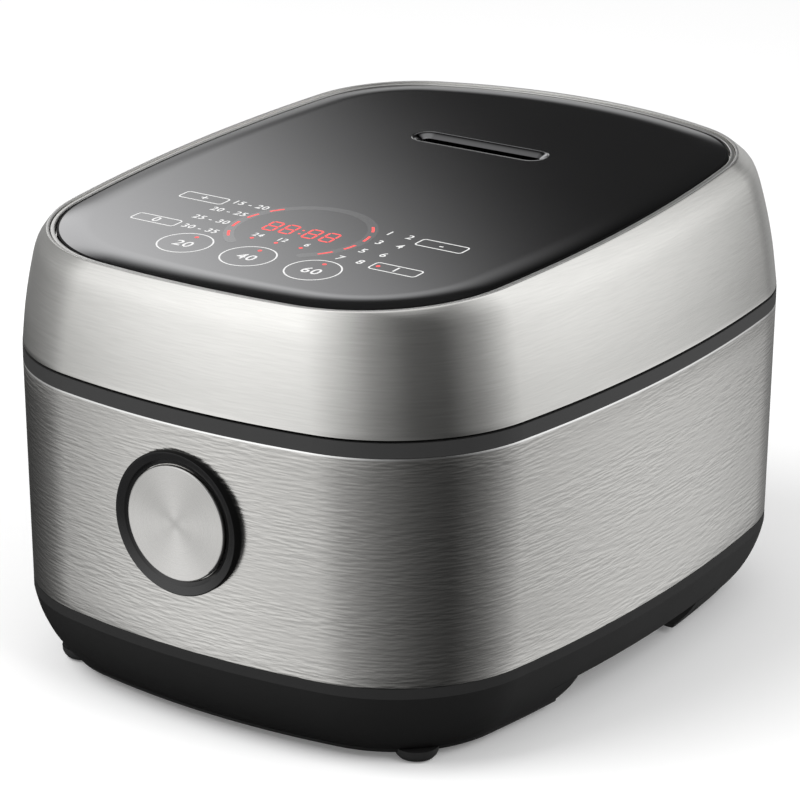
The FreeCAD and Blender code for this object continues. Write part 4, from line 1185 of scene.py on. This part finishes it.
# plain pale floor, soft lamps and the studio's reflection cards
studio = {
    "floor": 6.0,
    "fill": 0.62,
    "key": (-1.1, -1.5, 2.3, 1.9, 46.0),  # place, size, power
    "side": (1.9, -0.4, 1.7, 1.5, 20.0),
    "aim": (0.0, 0.0, 0.1),
    "cardRadius": 4.0, "cardFacets": (64, 32),  # around and from pole to pole
    # brightness of the cards by azimuth in degrees, front 0, right 90
    "low": [(-180, 0.24), (-150, 0.10), (-120, 0.04), (-96, 0.07), (-74, 0.16), (-57, 0.54), (-45, 0.84),
            (-28, 0.90), (-16, 0.74), (3, 0.38), (27, 0.18), (51, 0.08), (75, 0.035), (98, 0.15),
            (123, 0.46), (133, 0.72), (146, 0.80), (158, 0.74), (166, 0.52), (176, 0.25), (180, 0.24)],
    "level": [(-180, 0.34), (-150, 0.50), (-130, 0.32), (-112, 0.22), (-90, 0.24), (-67, 0.34), (-52, 0.64),
              (-42, 0.82), (-28, 0.92), (-17, 0.92), (2, 0.58), (25, 0.22), (49, 0.07), (72, 0.05), (96, 0.22),
              (120, 0.58), (130, 0.82), (146, 0.70), (156, 0.52), (163, 0.30), (174, 0.22), (180, 0.34)],
    "behind": [(-180, 0.03), (-148, 0.03), (-146.5, 0.045), (-145.3, 0.085), (-144.3, 0.125), (-143.3, 0.215),
               (-142, 0.34), (-140.7, 0.49), (-139, 0.65), (-137.3, 0.85), (-135, 1.10), (-112, 1.15),
               (180, 0.03)],
    # what changes from one elevation to another, in degrees, and its values there
    "levelGain": (-14.0, 8.0, 0.82, 1.22),
    "lowToLevel": (-17.0, -11.0),
    "behindGain": (28.0, 36.0, 1.3, 0.04),
    "behindFrom": (13.0, 19.5),
    "above": (42.0, 70.0, 0.0, 0.7),
    "below": (-56.0, -36.0, 0.06, 1.0),
    "behindSpan": ((-112.0, -122.0), (162.0, 172.0)),  # azimuths
    "slant": (23.5, 0.9),
}


def worldLight():
    world = bpy.data.worlds.new("studio")
    scene.world = world
    world.use_nodes = True
    tree = world.node_tree
    start = Sock(tree)
    camera = start.node("ShaderNodeLightPath", out=0)
    path = camera.link.node
    seen = camera.maths("MAXIMUM", Sock(tree, path.outputs["Is Glossy Ray"]))
    seen = seen.maths("MAXIMUM", Sock(tree, path.outputs["Is Transmission Ray"]))
    back = tree.nodes["Background"]
    back.inputs[0].default_value = grey(1.0)
    tree.links.new((seen * (1.0 - studio["fill"]) + studio["fill"]).link, back.inputs[1])


def areaLamp(name, x, y, z, size, power):
    data = bpy.data.lights.new(name, "AREA")
    data.shape = "DISK"
    data.size = size
    data.energy = power
    lamp = bpy.data.objects.new(name, data)
    lamp.location = (x, y, z)
    lamp.rotation_euler = (Vector(studio["aim"]) - lamp.location).to_track_quat("-Z", "Y").to_euler()
    lamp.visible_glossy = False
    scene.collection.objects.link(lamp)


def makeFloor():
    half = studio["floor"] / 2
    corners = [(-half, -half, 0), (half, -half, 0), (half, half, 0), (-half, half, 0)]
    floor = newPiece("floor", corners, [(0, 1, 2, 3)])
    made = Finish("paleFloor", Roughness=0.9, Specular_IOR_Level=0.0, Emission_Strength=0.12)
    cloud = made.noise(3.0)
    made.feed(Base_Color=cloud.blend(grey(0.93), grey(0.95)))
    made.feed(Emission_Color=made.start.node("ShaderNodeLightPath"))
    floor.data.materials.append(made.material)
    floor.visible_glossy = False


def azimuthStops(stops):
    return [((a + 180) / 360, tone) for a, tone in stops]


def reflectionCards():
    mesh = bmesh.new()
    sides, bands = studio["cardFacets"]
    bmesh.ops.create_uvsphere(mesh, u_segments=sides, v_segments=bands, radius=studio["cardRadius"])
    bmesh.ops.reverse_faces(mesh, faces=mesh.faces)
    data = bpy.data.meshes.new("reflectionCards")
    mesh.to_mesh(data)
    mesh.free()
    cards = bpy.data.objects.new("reflectionCards", data)
    scene.collection.objects.link(cards)
    made = Finish("cardTone")
    tree = made.material.node_tree
    x, y, z = [made.axis(name) for name in "XYZ"]
    turn = x.maths("ARCTAN2", y * -1.0) * (180 / pi)
    around = (turn + 180.0) / 360.0
    lift = (z / studio["cardRadius"]).maths("ARCSINE") * (180 / pi)
    low = around.ramp(azimuthStops(studio["low"]))
    level = around.ramp(azimuthStops(studio["level"])) * lift.smooth(*studio["levelGain"])
    walls = low + (level - low) * lift.smooth(*studio["lowToLevel"])
    middle, slope = studio["slant"]
    slant = (turn + (lift - middle) * slope + 180.0) / 360.0
    behind = slant.ramp(azimuthStops(studio["behind"])) * lift.smooth(*studio["behindGain"])
    left, right = studio["behindSpan"]
    atBack = turn.smooth(*left).maths("ADD", turn.smooth(*right), clamp=True)
    atBack = atBack * lift.smooth(*studio["behindFrom"])
    tone = (walls + (behind - walls) * atBack).maths("MAXIMUM", lift.smooth(*studio["above"]))
    tone = tone * lift.smooth(*studio["below"])
    glow = made.start.node("ShaderNodeEmission", None, {0: grey(1.0), 1: tone})
    tree.links.new(glow.link, tree.nodes["Material Output"].inputs[0])
    data.materials.append(made.material)
    for ray in ("camera", "diffuse", "shadow", "transmission", "volume_scatter"):
        setattr(cards, "visible_" + ray, False)


worldLight()
areaLamp("keyLamp", *studio["key"])
areaLamp("sideLamp", *studio["side"])
makeFloor()
reflectionCards()
print("studio set")
